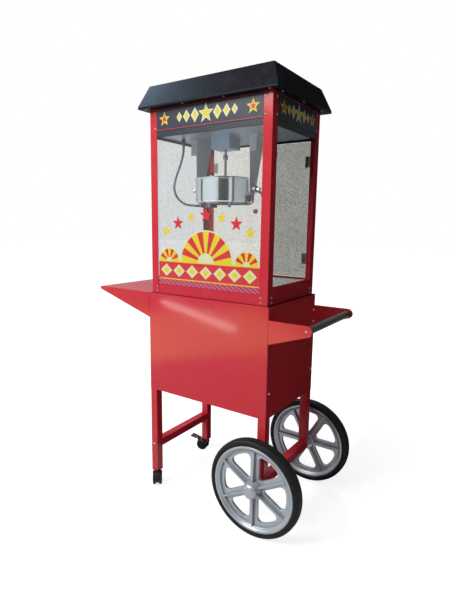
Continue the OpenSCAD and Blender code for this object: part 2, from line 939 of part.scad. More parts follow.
// Base: a sheet pan with sills, a channel for the front glass and ledges for the floor
module cabinet_base() {
    inner_y = -gy + glass_t + gap;
    slot_half = drawer_w / 2 + over;
    color(RED) difference() {
        union() {
            block([-wx, -wy, deck_z], [wx, wy, deck_z + sheet]);
            block([-wx, -wy, deck_z], [wx, sheet - wy, deck_z + front_sill_h]);
            block([-wx, wy - sheet, deck_z], [wx, wy, deck_z + base_h]);
            block([-wx + sheet, inner_y, deck_z], [wx - sheet, inner_y + sheet, floor_z]);
            block([-wx + sheet, inner_y, floor_z - sheet], [wx - sheet, inner_y + ledge_w, floor_z]);
            block([-wx + sheet, -wy, front_glass_z - sheet], [wx - sheet, inner_y + sheet, front_glass_z]);
            for (s = [0, 1]) mirror([s, 0, 0]) {
                block([wx - sheet, -wy, deck_z], [wx, wy, deck_z + front_sill_h]);
                block([wx - sheet, inner_y, deck_z], [wx, wy, deck_z + base_h]);
                block([wx - ledge_w, inner_y, floor_z - sheet], [wx, wy, floor_z]);
            }
        }
        block([-slot_half, 0, deck_z + sheet], [slot_half, cy, deck_z + sheet + drawer_h + over]);
        screw_holes();
    }
}

// Warming floor with crumb slots above the drawer
module warming_floor() {
    x = gx - glass_t - gap;
    y0 = -gy + glass_t + gap;
    color(STEEL) difference() {
        block([-x, y0, floor_z], [x, rear_stop - glass_t, floor_z + sheet]);
        for (k = [0 : slots - 1])
            translate([(k - (slots - 1) / 2) * slot_pitch, 0, floor_z])
                block([-slot_w / 2, -slot_len / 2, -over], [slot_w / 2, slot_len / 2, 2 * sheet]);
    }
}

module crumb_drawer() {
    z0 = deck_z + sheet + gap;
    y1 = wy + gap;
    y0 = y1 - drawer_d;
    half = drawer_w / 2;
    pull_z = deck_z + base_h * 0.55;
    color(STEEL) {
        difference() {
            block([-half, y0, z0], [half, y1 + drawer_front_t, z0 + drawer_h - gap]);
            block([sheet - half, y0 + sheet, z0 + sheet], [half - sheet, y1, z0 + drawer_h + over]);
        }
        block([-half - drawer_front_side, y1, z0 + over],
              [half + drawer_front_side, y1 + drawer_front_t, z0 + drawer_front_h]);
        block([-pull_w / 2, y1, pull_z], [pull_w / 2, y1 + pull_d, pull_z + sheet]);
        block([-pull_w / 2, y1 + pull_d - sheet, pull_z - pull_h],
              [pull_w / 2, y1 + pull_d, pull_z + sheet]);
    }
}

module corner_posts() {
    color(RED) difference() {
        for (s = [0, 1], t = [0, 1]) mirror([s, 0, 0]) mirror([0, t, 0]) difference() {
            block([cx - post, cy - post, deck_z], [cx, cy, top_z]);
            block([cx - post - over, cy - post - over, deck_z - over], [wx, wy, top_z + over]);
        }
        screw_holes();
    }
}

module glass_front() {
    x = gx - glass_t - gap;
    color(GLASS) block([-x, -gy, front_glass_z], [x, glass_t - gy, ceil_z - gap]);
}

module side_glasses() {
    color(GLASS) for (s = [0, 1]) mirror([s, 0, 0])
        block([gx - glass_t, -gy + glass_t + gap, floor_z], [gx, rear_stop - glass_t, ceil_z - gap]);
}

// Header housing: ceiling and three walls, open at the back for the control panel
module top_housing() {
    color(BLACK) difference() {
        union() {
            block([-wx, -wy, ceil_z], [wx, wy - sheet, ceil_z + sheet]);
            block([-wx, -wy, head_z], [wx, sheet - wy, top_z]);
            for (s = [0, 1]) mirror([s, 0, 0]) {
                block([wx - sheet, -wy, head_z], [wx, wy, top_z]);
                block([gx - glass_t - gap - sheet, -gy + glass_t + gap, head_z],
                      [gx - glass_t - gap, rear_stop - glass_t, ceil_z + sheet]);
            }
            block([-gx + glass_t + gap, -gy + glass_t + gap, head_z],
                  [gx - glass_t - gap, -gy + glass_t + gap + sheet, ceil_z + sheet]);
            rod_z(lead_start_z, ceil_z + sheet, route[1][0], route[1][1], gland_r);
        }
        rod_z(ceil_z - over, ceil_z + sheet + over, kettle_x, kettle_y, neck_r + fit);
        rod_z(lead_start_z - over, top_z, route[1][0], route[1][1], lead_r * lead_bore_share);
        screw_holes();
    }
}

module sign_panels() {
    x = cx - post - gap;
    y = cy - post - gap;
    color(BLACK) {
        block([-x, -wy - sign_t, sign_z], [x, -wy, top_z]);
        for (s = [0, 1]) mirror([s, 0, 0]) block([wx, -y, sign_z], [wx + sign_t, y, top_z]);
    }
}

// Control panel across the back of the header, with the frames of three rocker switches
// and a gap over its whole height for the plate of the power inlet
module control_panel() {
    color(BLACK) difference() {
        union() {
            block([sheet - wx, wy - sheet, head_z], [wx - sheet, wy, top_z]);
            for (x = switch_xs) translate([x, wy, switch_z])
                block([-rocker_w / 2 - bezel_t, -bezel_d, -rocker_h / 2 - bezel_t],
                      [rocker_w / 2 + bezel_t, bezel_out, rocker_h / 2 + bezel_t]);
        }
        for (x = switch_xs) translate([x, wy, switch_z]) {
            block([-rocker_w / 2 - gap, over - bezel_d, -rocker_h / 2 - over],
                  [rocker_w / 2 + gap, bezel_out + over, rocker_h / 2 + over]);
            rod_x(-rocker_w / 2 - bezel_t * 0.7, rocker_w / 2 + bezel_t * 0.7, 0, 0, rocker_pin_r + run);
        }
        translate([inlet_x, wy, 0])
            block([-inlet_w / 2 - inlet_rim - gap, -over - sheet, head_z - over],
                  [inlet_w / 2 + inlet_rim + gap, over, top_z + over]);
        screw_holes();
    }
}

module rocker_shape(x) {
    h = rocker_h / 2;
    color(BLACK) translate([x, wy, switch_z]) {
        rotate([rocker_off, 0, 0]) rotate([90, 0, 90]) translate([0, 0, -rocker_w / 2])
            linear_extrude(height = rocker_w)
                polygon([[-rocker_d, -h * 0.5], [rocker_out * 0.6, -h * 0.94], [rocker_out, -h * 0.3],
                         [rocker_out, h * 0.3], [rocker_out * 0.6, h * 0.94], [-rocker_d, h * 0.5]]);
        rod_x(-rocker_w / 2 - bezel_t * 0.6, rocker_w / 2 + bezel_t * 0.6, 0, 0, rocker_pin_r);
    }
}

module rocker_heat() {
    rocker_shape(switch_xs[0]);
}

module rocker_stir() {
    rocker_shape(switch_xs[1]);
}

module rocker_lamp() {
    rocker_shape(switch_xs[2]);
}

module power_inlet() {
    w = inlet_w / 2;
    h = inlet_h / 2;
    color(BLACK) translate([inlet_x, wy, switch_z]) difference() {
        union() {
            block([-w, -inlet_d, -h], [w, inlet_rim_t, h]);
            block([-w - inlet_rim, -sheet / 2, -h - inlet_rim], [w + inlet_rim, inlet_rim_t, h + inlet_rim]);
            block([-w - inlet_rim, -sheet, head_z - switch_z], [w + inlet_rim, 0, top_z - switch_z]);
        }
        block([inlet_wall - w, -inlet_d * 0.7, inlet_wall - h],
              [w - inlet_wall, inlet_rim_t + over, h - inlet_wall]);
        for (k = [-1, 0, 1])
            translate([k * inlet_w * 0.22, 0, 0]) rod_y(-inlet_d - over, 0, 0, 0, inlet_wall / 2);
    }
}

// Hollow roof: upright lip, sloping sides, flat top and a ring underneath that sits on the posts
module frustum(x0, y0, x1, y1, h) {
    polyhedron(
        points = [
            [-x0, -y0, 0], [x0, -y0, 0], [x0, y0, 0], [-x0, y0, 0],
            [-x1, -y1, h], [x1, -y1, h], [x1, y1, h], [-x1, y1, h]
        ],
        faces = [[0, 1, 2, 3], [7, 6, 5, 4], [4, 5, 1, 0], [5, 6, 2, 1], [6, 7, 3, 2], [7, 4, 0, 3]]
    );
}

module roof() {
    x = cx + eave;
    y = cy + eave;
    slope_h = roof_h - eave_lip;
    color(BLACK) translate([0, 0, top_z]) {
        difference() {
            union() {
                block([-x, -y, 0], [x, y, eave_lip]);
                translate([0, 0, eave_lip]) frustum(x, y, cx, cy, slope_h);
            }
            block([sheet - x, sheet - y, sheet], [x - sheet, y - sheet, eave_lip]);
            translate([0, 0, eave_lip - sheet / 2])
                frustum(x - 2 * sheet, y - 2 * sheet, cx - sheet, cy - sheet, slope_h - sheet / 2);
            block([ring_w - x, ring_w - y, -over], [x - ring_w, y - ring_w, eave_lip]);
        }
    }
}

// Rear doors, hinged at the posts and meeting in the middle
module rear_door_shape() {
    color(GLASS) block([mid_gap, cy - glass_t, rear_z0], [rear_half, cy, rear_z1]);
}

module rear_fittings_shape() {
    color(STEEL) {
        for (z = rear_hinge_zs) translate([rear_hinge_x, cy + knuckle_r, z]) moving_leaf();
        translate([small_knob_in, cy, (rear_z0 + rear_z1) / 2]) aim_y(1)
            knob(small_knob_r, small_stem_r, small_knob_h);
    }
}

module rear_door_left() {
    mirror([1, 0, 0]) rear_door_shape();
}

module rear_door_right() {
    rear_door_shape();
}

module left_door_fittings() {
    mirror([1, 0, 0]) rear_fittings_shape();
}

module right_door_fittings() {
    rear_fittings_shape();
}

// Drive: gear box under the ceiling, motor above it, shaft with its gear in the box
// and a tongue in the stirrer's cup. The tongue ends above the arc of the tilting rim.
box_z = ceil_z - box_h;
sweep_r = norm([kettle_r + bead_r, rim_z - tilt_z]);
tongue_z = tilt_z + sweep_r + sweep_gap;
cup_z = tongue_z - tongue_gap - cup_floor;
drive_z = cup_z + cup_h + drive_gap;

module at_kettle() {
    translate([kettle_x, kettle_y, 0]) children();
}

module drive_motor() {
    color(STEEL) at_kettle() difference() {
        union() {
            block([-box_w / 2, -box_d / 2, box_z], [box_w / 2, box_d / 2, ceil_z]);
            rod_z(ceil_z - over, ceil_z + sheet + over, 0, 0, neck_r);
            rod_z(ceil_z + sheet, ceil_z + sheet + motor_h, 0, 0, motor_r);
        }
        rod_z(box_z - over, box_z + shaft_in + over, 0, 0, shaft_r + run);
        rod_z(box_z + gear_up - gear_gap, box_z + gear_up + gear_t + gear_gap, 0, 0, gear_r + gear_gap);
    }
}

module drive_shaft() {
    color(STEEL) at_kettle() {
        rod_z(drive_z, box_z + shaft_in, 0, 0, shaft_r);
        rod_z(box_z + gear_up, box_z + gear_up + gear_t, 0, 0, gear_r);
        block([-tongue_w / 2, -shaft_r, tongue_z], [tongue_w / 2, shaft_r, drive_z + over]);
    }
}

// Hangers: two channel arms from the ceiling that carry the kettle's trunnions
module kettle_hangers() {
    color(STEEL) at_kettle() for (s = [0, 1]) mirror([s, 0, 0]) difference() {
        union() {
            translate([arm_in, 0, 0]) rotate([90, 0, 90]) linear_extrude(height = arm_t) polygon([
                [-arm_w / 2, tilt_z], [arm_w / 2, tilt_z], [arm_back, ceil_z], [-arm_w / 2, ceil_z]
            ]);
            rod_x(arm_in, arm_out, 0, tilt_z, arm_w / 2);
            block([arm_in, -arm_w / 2, ceil_z - arm_t], [arm_out + foot_w, arm_back, ceil_z]);
            block([arm_in, -arm_w / 2, ceil_z - (ceil_z - tilt_z) * arm_flange_share],
                  [arm_out + arm_flange, arm_t - arm_w / 2, ceil_z]);
        }
        rod_x(arm_in - over, arm_out + over, 0, tilt_z, trunnion_r + run);
    }
}

module kettle() {
    color(STEEL) at_kettle() difference() {
        union() {
            translate([0, 0, pot_z]) rotate_extrude() polygon([
                [0, 0], [kettle_r * 0.94, 0],
                [kettle_r * 0.985, kettle_r * 0.02], [kettle_r, kettle_r * 0.07],
                [kettle_r, kettle_h - 2 * bead_r], [kettle_r + bead_r, kettle_h - bead_r * 1.5],
                [kettle_r + bead_r, kettle_h - bead_r * 0.5], [kettle_r + bead_r * 0.5, kettle_h],
                [kettle_r - wall, kettle_h], [kettle_r - wall, kettle_r * 0.08],
                [kettle_r * 0.94, bottom_t + wall], [kettle_r * 0.92, bottom_t], [0, bottom_t]
            ]);
            for (s = [0, 1]) mirror([s, 0, 0]) {
                rod_x(kettle_r - wall * 0.7, trunnion_out, 0, tilt_z, trunnion_r);
                rod_x(kettle_r - wall * 0.3, kettle_r + boss_len, 0, tilt_z, boss_r);
            }
            intersection() {
                block([-kettle_r, -bar_w / 2, rim_z - bar_t], [kettle_r, bar_w / 2, rim_z]);
                rod_z(rim_z - bar_t, rim_z, 0, 0, kettle_r - wall / 2);
            }
            for (s = [0, 1], t = [0, 1]) mirror([s, 0, 0]) mirror([0, t, 0])
                block([ear_x, bar_w / 2 - over, rim_z - bar_t],
                      [ear_x + ear_t, lid_axis_y + barrel_r, lid_axis_z + barrel_r]);
        }
        rod_z(rim_z - bar_t - over, rim_z + over, 0, 0, shaft_r + run);
        for (t = [-1, 1])
            rod_x(-ear_x - 2 * ear_t, ear_x + 2 * ear_t, t * lid_axis_y, lid_axis_z, lid_pin_r + run);
    }
}

// Heater plate under the pot, with the terminal box and gland of the kettle lead and a thermostat
module kettle_heater() {
    color(STEEL) at_kettle() {
        rod_z(pot_z - plate_t, pot_z, 0, 0, heater_r);
        block([-heater_r, -terminal_w / 2, pot_z - heater_h],
              [terminal_len - heater_r, terminal_w / 2, pot_z - plate_t / 2]);
        rod_x(-heater_r - gland_len, over - heater_r, 0, gland_z, gland_r);
        rod_z(pot_z - heater_h, pot_z - plate_t / 2, heater_r * 0.4, -heater_r * 0.3, stat_r);
    }
}

module kettle_lever() {
    far = arm_out + lever_gap;
    rod_at = far + lever_grip_r;
    color(BLACK) at_kettle() translate([0, 0, tilt_z]) difference() {
        union() {
            rod_x(far, far + lever_hub_t, 0, 0, lever_hub_r);
            rotate([-lever_drop, 0, 0]) {
                rod_y(0, lever_len, rod_at, 0, lever_r);
                rod_y(lever_len - lever_grip_len, lever_len, rod_at, 0, lever_grip_r);
            }
        }
        rod_x(far - over, far + lever_hub_t + over, 0, 0, trunnion_r + fit);
    }
}

module stirrer() {
    z = pot_z + bottom_t + blade_gap;
    color(STEEL) at_kettle() difference() {
        union() {
            rod_z(z, cup_z + over, 0, 0, shaft_r);
            rod_z(cup_z, cup_z + cup_h, 0, 0, cup_r);
            block([-blade_r, -blade_t / 2, z], [blade_r, blade_t / 2, z + blade_h]);
            for (a = [0, 180]) rotate(a) translate([blade_r * 0.62, 0, z]) rotate(35)
                block([-paddle_len / 2, -blade_t / 2, 0], [paddle_len / 2, blade_t / 2, paddle_h]);
        }
        block([-tongue_w / 2 - tongue_clear, -cup_r - over, cup_z + cup_floor],
              [tongue_w / 2 + tongue_clear, cup_r + over, cup_z + cup_h + over]);
    }
}

// Lids: two half discs on barrels beside the middle bar, drawn for the front
module lid_shape() {
    z0 = rim_z + gap;
    color(STEEL) at_kettle() {
        difference() {
            rod_z(z0, z0 + lid_t, 0, 0, lid_r);
            block([-2 * lid_r, -lid_axis_y, z0 - over], [2 * lid_r, 2 * lid_r, z0 + 2 * over]);
            for (s = [0, 1]) mirror([s, 0, 0])
                block([ear_x - gap, -lid_axis_y - 2 * barrel_r, z0 - over],
                      [2 * lid_r, 0, z0 + 2 * over]);
        }
        rod_x(gap - ear_x, ear_x - gap, -lid_axis_y, lid_axis_z, barrel_r);
        rod_x(-ear_x - ear_t, ear_x + ear_t, -lid_axis_y, lid_axis_z, lid_pin_r);
        translate([0, -lid_r * 0.75, z0 + lid_t - fit])
            cylinder(r1 = lid_knob_r * 0.6, r2 = lid_knob_r, h = lid_knob_h);
    }
}

module lid_front() {
    lid_shape();
}

module lid_rear() {
    translate([0, 2 * kettle_y, 0]) mirror([0, 1, 0]) lid_shape();
}

// Lamp: socket on the ceiling and a pear-shaped bulb
module lamp() {
    translate([lamp_x, lamp_y, 0]) {
        color(BLACK) rod_z(ceil_z - socket_h, ceil_z, 0, 0, socket_r);
        color(GLASS) translate([0, 0, ceil_z - socket_h - bulb_h]) rotate_extrude() polygon([
            [0, 0], [bulb_r * 0.4, bulb_r * 0.09], [bulb_r * 0.75, bulb_r * 0.34],
            [bulb_r * 0.96, bulb_r * 0.72],
            [bulb_r, bulb_r], [bulb_r * 0.94, bulb_r * 1.35], [bulb_r * 0.76, bulb_r * 1.75],
            [bulb_neck_r, bulb_h - bulb_r * 0.2], [bulb_neck_r, bulb_h], [0, bulb_h]
        ]);
    }
}

// Armoured lead: one ribbed tube with a bore along the route
function spline(p0, p1, p2, p3, t) =
    (2 * p1 + (p2 - p0) * t + (2 * p0 - 5 * p1 + 4 * p2 - p3) * t * t
        + (3 * p1 - p0 - 3 * p2 + p3) * t * t * t) / 2;
route_spans = len(route) - 3;
function route_at(s) =
    let (k = min(route_spans - 1, floor(s * route_spans)), t = s * route_spans - k)
    spline(route[k], route[k + 1], route[k + 2], route[k + 3], t);
function ring_at(s, r) =
    let (d = 0.001, a = route_at(max(0, s - d)), b = route_at(min(1, s + d)))
    let (way = unit(b - a), across = unit(cross(way, [0, 1, 0])), up = cross(way, across))
    [for (i = [0 : lead_sides - 1])
        let (q = 360 * i / lead_sides) route_at(s) + r * (across * cos(q) + up * sin(q))];
lead_rings = 2 * lead_ribs + 1;

module kettle_lead() {
    n = lead_sides;
    m = lead_rings;
    inner = m * n;
    pts = concat(
        [for (k = [0 : m - 1])
            each ring_at(k / (m - 1), k % 2 == 1 ? lead_r : lead_r * lead_root_share)],
        [for (k = [0 : m - 1]) each ring_at(k / (m - 1), lead_r * lead_bore_share)]
    );
    faces = concat(
        [for (k = [0 : m - 2], i = [0 : n - 1])
            each [[k * n + i, (k + 1) * n + i, (k + 1) * n + (i + 1) % n],
                  [k * n + i, (k + 1) * n + (i + 1) % n, k * n + (i + 1) % n]]],
        [for (k = [0 : m - 2], i = [0 : n - 1])
            each [[inner + k * n + i, inner + (k + 1) * n + (i + 1) % n, inner + (k + 1) * n + i],
                  [inner + k * n + i, inner + k * n + (i + 1) % n, inner + (k + 1) * n + (i + 1) % n]]],
        [for (i = [0 : n - 1])
            each [[i, (i + 1) % n, inner + (i + 1) % n], [i, inner + (i + 1) % n, inner + i]]],
        [for (i = [0 : n - 1]) let (e = (m - 1) * n)
            each [[e + i, inner + e + (i + 1) % n, e + (i + 1) % n],
                  [e + i, inner + e + i, inner + e + (i + 1) % n]]]
    );
    color(STEEL) polyhedron(points = pts, faces = faces);
}

in_frame() cart_shell();
in_frame() cart_deck();
in_frame() storage_floor();
in_frame() storage_door();
in_frame() storage_door_fittings();
in_frame() left_legs();
in_frame() leg_crossbar();
in_frame() axle_frame();
in_frame() side_shelf();
in_frame() handle_brackets();
in_frame() handle_bar();
in_frame() cart_bolts();
in_frame() axle();
in_frame() axle_collars();
in_frame() wheel_front();
in_frame() tyre_front();
in_frame() bushes_front();
in_frame() hub_cap_front();
in_frame() wheel_rear();
in_frame() tyre_rear();
in_frame() bushes_rear();
in_frame() hub_cap_rear();
in_frame() caster_sockets();
in_frame() caster_fork_front();
in_frame() caster_wheels_front();
in_frame() caster_brake_front();
in_frame() caster_fork_rear();
in_frame() caster_wheels_rear();
in_frame() caster_brake_rear();
in_frame() cabinet_base();
in_frame() warming_floor();
in_frame() crumb_drawer();
in_frame() corner_posts();
in_frame() glass_front();
in_frame() side_glasses();
in_frame() top_housing();
in_frame() sign_panels();
in_frame() control_panel();
in_frame() rocker_heat();
in_frame() rocker_stir();
in_frame() rocker_lamp();
in_frame() power_inlet();
in_frame() roof();
in_frame() cabinet_screws();
in_frame() hinge_leaves();
in_frame() rear_door_left();
in_frame() rear_door_right();
in_frame() left_door_fittings();
in_frame() right_door_fittings();
in_frame() drive_motor();
in_frame() drive_shaft();
in_frame() kettle_hangers();
in_frame() kettle();
in_frame() kettle_heater();
in_frame() kettle_lever();
in_frame() stirrer();
in_frame() lid_front();
in_frame() lid_rear();
in_frame() lamp();
in_frame() kettle_lead();
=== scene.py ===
# %% [markdown]
# Popcorn machine on a cart
# The real object is a red sheet-metal cart with a glass popping cabinet, a black hip roof and two
# large spoked wheels. The CAD model already holds its sizes, bodies and joints.
# The looks could be modelled from nothing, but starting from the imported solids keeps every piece
# in its place, so each cell below dresses one piece or makes one finish on that frame.

# %% Load the frame
import json
import math

import bpy
from mathutils import Matrix, Vector


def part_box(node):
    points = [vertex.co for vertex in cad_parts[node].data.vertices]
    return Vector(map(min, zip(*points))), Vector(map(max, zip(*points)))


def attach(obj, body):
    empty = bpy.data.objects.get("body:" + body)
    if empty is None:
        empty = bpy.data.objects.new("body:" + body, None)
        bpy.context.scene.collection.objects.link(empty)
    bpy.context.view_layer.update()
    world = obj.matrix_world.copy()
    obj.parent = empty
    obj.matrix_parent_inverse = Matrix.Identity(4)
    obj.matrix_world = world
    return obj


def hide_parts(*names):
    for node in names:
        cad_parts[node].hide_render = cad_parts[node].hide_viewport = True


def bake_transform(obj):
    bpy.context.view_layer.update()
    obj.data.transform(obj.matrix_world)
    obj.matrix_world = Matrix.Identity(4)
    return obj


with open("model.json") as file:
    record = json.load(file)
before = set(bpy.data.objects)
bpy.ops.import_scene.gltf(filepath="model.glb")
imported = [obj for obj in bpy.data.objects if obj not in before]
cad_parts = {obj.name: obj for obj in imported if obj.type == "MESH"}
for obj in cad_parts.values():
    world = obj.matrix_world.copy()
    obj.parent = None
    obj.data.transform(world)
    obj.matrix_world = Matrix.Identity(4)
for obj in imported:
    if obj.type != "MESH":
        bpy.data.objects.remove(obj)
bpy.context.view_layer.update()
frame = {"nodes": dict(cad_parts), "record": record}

record = frame["record"]
body_of = {}
for body, members in record["behaviour"]["bodies"].items():
    for member in members:
        body_of[member] = body
slot_of = {row["node"]: row["material_slot"] for row in record["subparts"]}
scene = bpy.context.scene
scene.view_settings.view_transform = "Standard"
MM = 0.001
MIDDLE = 62.5


def at(x, y, z):
    """A point given in millimetres from the middle of the cart body."""
    return Vector(((x + MIDDLE) * MM, y * MM, z * MM))


def let_go():
    """Deselects everything, because an operator acts on all that is selected."""
    bpy.ops.object.select_all(action="DESELECT")


let_go()

# %% [markdown]
# Camera
# The photograph was taken from the right of the front, a little above the handle, with a short
# lens. The camera could be turned by eye, but its place was solved from the straight edges of the
# cabinet and cart, so its three directions are written out and put in the camera's matrix.

# %% Camera
IMAGE_HEIGHT = 605
FOCAL_PIXELS = 456.71
SENSOR = 36.0
turn = math.radians(34.316)
tip = math.radians(-9.891)
roll = math.radians(0.7376)
eye = Vector((1.0124, -1.4419, 1.0495))
ahead = Vector((-math.sin(turn) * math.cos(tip), math.cos(turn) * math.cos(tip), math.sin(tip)))
right = Vector((math.cos(turn), math.sin(turn), 0))
up = right.cross(ahead)
across = right * math.cos(roll) + up * math.sin(roll)
upward = up * math.cos(roll) - right * math.sin(roll)
directions = Matrix((across, upward, -ahead)).transposed()
lens = bpy.data.cameras.new("photo_camera")
lens.sensor_width = SENSOR
lens.lens = SENSOR * FOCAL_PIXELS / IMAGE_HEIGHT
camera = bpy.data.objects.new("photo_camera", lens)
scene.collection.objects.link(camera)
camera.matrix_world = Matrix.Translation(eye) @ directions.to_4x4()
scene.camera = camera
print("camera lens", round(lens.lens, 2))

# %% [markdown]
# Shader wires
# Every finish here is a small net of nodes. The nodes could be placed one by one, but a class that
# wraps a socket lets the maths of a finish be written as plain expressions, so it reads like a
# recipe. Colours are written as red, green and blue, and their alpha is added here.


# %% Shader wires
class Wire:
    """One output of a node tree. Arithmetic on it adds Math nodes to the tree."""

    def __init__(self, tree, socket=None):
        self.tree = tree
        self.socket = socket

    def node(self, kind, settings=None, sockets=None, output=0):
        """Adds any node: its settings first, then the values or wires of its sockets."""
        made = self.tree.nodes.new(kind)
        for name, value in (settings or {}).items():
            setattr(made, name, value)
        for name, value in (sockets or {}).items():
            socket = made.inputs[name]
            if isinstance(value, Wire):
                self.tree.links.new(value.socket, socket)
            else:
                socket.default_value = (*value, 1.0) if socket.type == "RGBA" else value
        return Wire(self.tree, made.outputs[output] if made.outputs else None)

    def math(self, operation, first, second):
        """One Math node on two values."""
        return self.node("ShaderNodeMath", {"operation": operation}, {0: first, 1: second})

    def __add__(self, other):
        return self.math("ADD", self, other)

    def __radd__(self, other):
        return self.math("ADD", other, self)

    def __rsub__(self, other):
        return self.math("SUBTRACT", other, self)

    def __mul__(self, other):
        return self.math("MULTIPLY", self, other)

    def __rmul__(self, other):
        return self.math("MULTIPLY", other, self)

    def spread(self, low, high):
        """Stretches the values between low and high to 0 and 1, and cuts off the rest."""
        ends = {"Value": self, "From Min": low, "From Max": high}
        return self.node("ShaderNodeMapRange", {"clamp": True}, ends)

    def mix(self, first, second):
        """Goes from the first colour to the second as this mask goes from 0 to 1."""
        return self.node("ShaderNodeMix", {"data_type": "RGBA"}, {0: self, 6: first, 7: second}, 2)

    def stretched(self, x, y, z):
        """These coordinates with each axis multiplied."""
        return self.node("ShaderNodeMapping", {}, {"Vector": self, "Scale": (x, y, z)})

    def noise(self, scale, detail=2.0):
        """Cloudy noise on these coordinates; scale is spots per metre."""
        look = {"Vector": self, "Scale": scale, "Detail": detail}
        return self.node("ShaderNodeTexNoise", {}, look)


def new_finish(name):
    """A material with an empty tree, the wire its nodes start from, and the place on the piece."""
    material = bpy.data.materials.new(name)
    material.use_nodes = True
    material.node_tree.nodes.clear()
    start = Wire(material.node_tree)
    place = start.node("ShaderNodeTexCoord", output="Object")
    return material, start, place


def close_finish(start, surface):
    """Joins the last shader to the material's output."""
    start.node("ShaderNodeOutputMaterial", {}, {"Surface": surface})


def skin(start, sockets):
    """Closes a finish with one Principled shader that has these sockets."""
    close_finish(start, start.node("ShaderNodeBsdfPrincipled", {}, sockets))


def bumped(start, height, depth, strength):
    """A bump from a height in 0 to 1 that is depth metres tall."""
    shape = {"Height": height, "Strength": strength, "Distance": depth}
    return start.node("ShaderNodeBump", {}, shape)


def edge_mask(start):
    """The mask that is 1 on rounded edges and 0 on the rest of a piece."""
    return start.node("ShaderNodeAttribute", {"attribute_name": "edge"}, output="Fac")


print("shader wires ready")

# %% [markdown]
# Floor and world
# The photograph shows the cart on plain white. More light could bleach the floor, but that would
# wash out the red paint, so the floor and the world show white only to the camera, to mirrors and
# to glass. Near the cart the floor glows a little less, so that the cart's soft shadow shows.

# %% Floor and world
FLOOR_SIZE = 40.0
FLOOR_GREY = (0.45, 0.45, 0.44)
WHITE = (1.0, 1.0, 1.0)
FAR_GLOW = 1.0
NEAR_LOSS = 0.20
NEAR_END = 0.5
FAR_START = 1.8
AMBIENT = 0.15
AMBIENT_BLUE = (0.93, 0.96, 1.0)


def seen_directly(start):
    """1 for rays from the camera, mirrors and glass, and 0 for the light that falls on things."""
    eye_ray = start.node("ShaderNodeLightPath", output="Is Camera Ray")
    mirror_ray = start.node("ShaderNodeLightPath", output="Is Glossy Ray")
    glass_ray = start.node("ShaderNodeLightPath", output="Is Transmission Ray")
    return (eye_ray + mirror_ray + glass_ray).spread(0.0, 1.0)


floor_finish, start, place = new_finish("pale_floor")
matt = start.node("ShaderNodeBsdfDiffuse", {}, {"Color": FLOOR_GREY})
distance = start.node("ShaderNodeVectorMath", {"operation": "LENGTH"}, {0: place}, "Value")
near = 1 - distance.spread(NEAR_END, FAR_START)
strength = seen_directly(start) * (FAR_GLOW - near * NEAR_LOSS)
glow = start.node("ShaderNodeEmission", {}, {"Color": WHITE, "Strength": strength})
close_finish(start, start.node("ShaderNodeAddShader", {}, {0: matt, 1: glow}))
bpy.ops.mesh.primitive_plane_add(size=FLOOR_SIZE, location=(0, 0, 0))
floor = bpy.context.object
floor.name = "floor"
floor.data.materials.append(floor_finish)

world = bpy.data.worlds.new("studio")
world.use_nodes = True
world.node_tree.nodes.clear()
start = Wire(world.node_tree)
soft = start.node("ShaderNodeBackground", {}, {"Color": AMBIENT_BLUE, "Strength": AMBIENT})
white = start.node("ShaderNodeBackground", {}, {"Color": WHITE, "Strength": 1.0})
both = start.node("ShaderNodeMixShader", {}, {0: seen_directly(start), 1: soft, 2: white})
start.node("ShaderNodeOutputWorld", {}, {"Surface": both})
scene.world = world
print("floor and world ready")

# %% [markdown]
# Lamps
# One large soft lamp from the front left leaves the right side of the cart in shade, as in the
# photograph, and two weaker ones light the roof and the back. Glossy paint shows what stands round
# it, so three more lamps are seen by gloss alone: a thin strip that draws the streak on the front,
# a pale blue sky that the roof mirrors, and a warm one on the ground for the cart's red sheets.

# %% Lamps
STRIP_PLACE = Vector((-0.555, -0.957, 0.525))
STRIP_TARGET = Vector((0.047, -0.183, 0.726))
STRIP_LINE = Vector((0.948, -0.180, -0.264))
STRIP_LENGTH = 0.44
STRIP_WIDTH = 0.012
SKY_BLUE = (0.52, 0.72, 1.0)
GROUND_PLACE = (-1.68, -2.34, 0.02)
ABOVE_GROUND = (-1.68, -2.34, 1.0)
GROUND_TURN = math.radians(-52)
GROUND_WARM = (1.0, 0.80, 0.22)


def lamp(name, place, target, size, watts):
    """A square soft lamp that looks at a point."""
    light = bpy.data.lights.new(name, "AREA")
    light.size = size
    light.energy = watts
    stand = bpy.data.objects.new(name, light)
    scene.collection.objects.link(stand)
    stand.location = place
    stand.rotation_euler = (Vector(target) - Vector(place)).to_track_quat("-Z", "Y").to_euler()
    return stand


lamp("key_lamp", (-1.3, -2.9, 2.9), (0.0, 0.0, 0.8), 1.6, 134.0)
lamp("top_lamp", (0.2, -0.8, 3.8), (0.0, 0.0, 1.0), 2.4, 30.0)
lamp("back_lamp", (-1.6, 3.0, 2.6), (0.0, 0.0, 0.8), 2.0, 60.0)
strip = lamp("strip_lamp", STRIP_PLACE, STRIP_TARGET, STRIP_LENGTH, 0.85)
strip.data.shape = "RECTANGLE"
strip.data.size_y = STRIP_WIDTH
aim = (STRIP_TARGET - STRIP_PLACE).normalized()
rise = STRIP_LINE.cross(aim).normalized()
strip.rotation_euler = Matrix((aim.cross(rise), rise, aim * -1)).transposed().to_euler()
sky = lamp("sky_lamp", (-3.3, -0.75, 3.95), (-0.1, -0.2, 1.48), 1.1, 240.0)
sky.data.color = SKY_BLUE
ground = lamp("ground_lamp", GROUND_PLACE, ABOVE_GROUND, 1.8, 45.0)
ground.data.color = GROUND_WARM
ground.rotation_euler = (math.pi, 0, GROUND_TURN)
for gloss_lamp in (strip, sky, ground):
    gloss_lamp.visible_diffuse = False
for hidden_lamp in (strip, ground):
    hidden_lamp.visible_camera = False
print("lamps", len(bpy.data.lights))

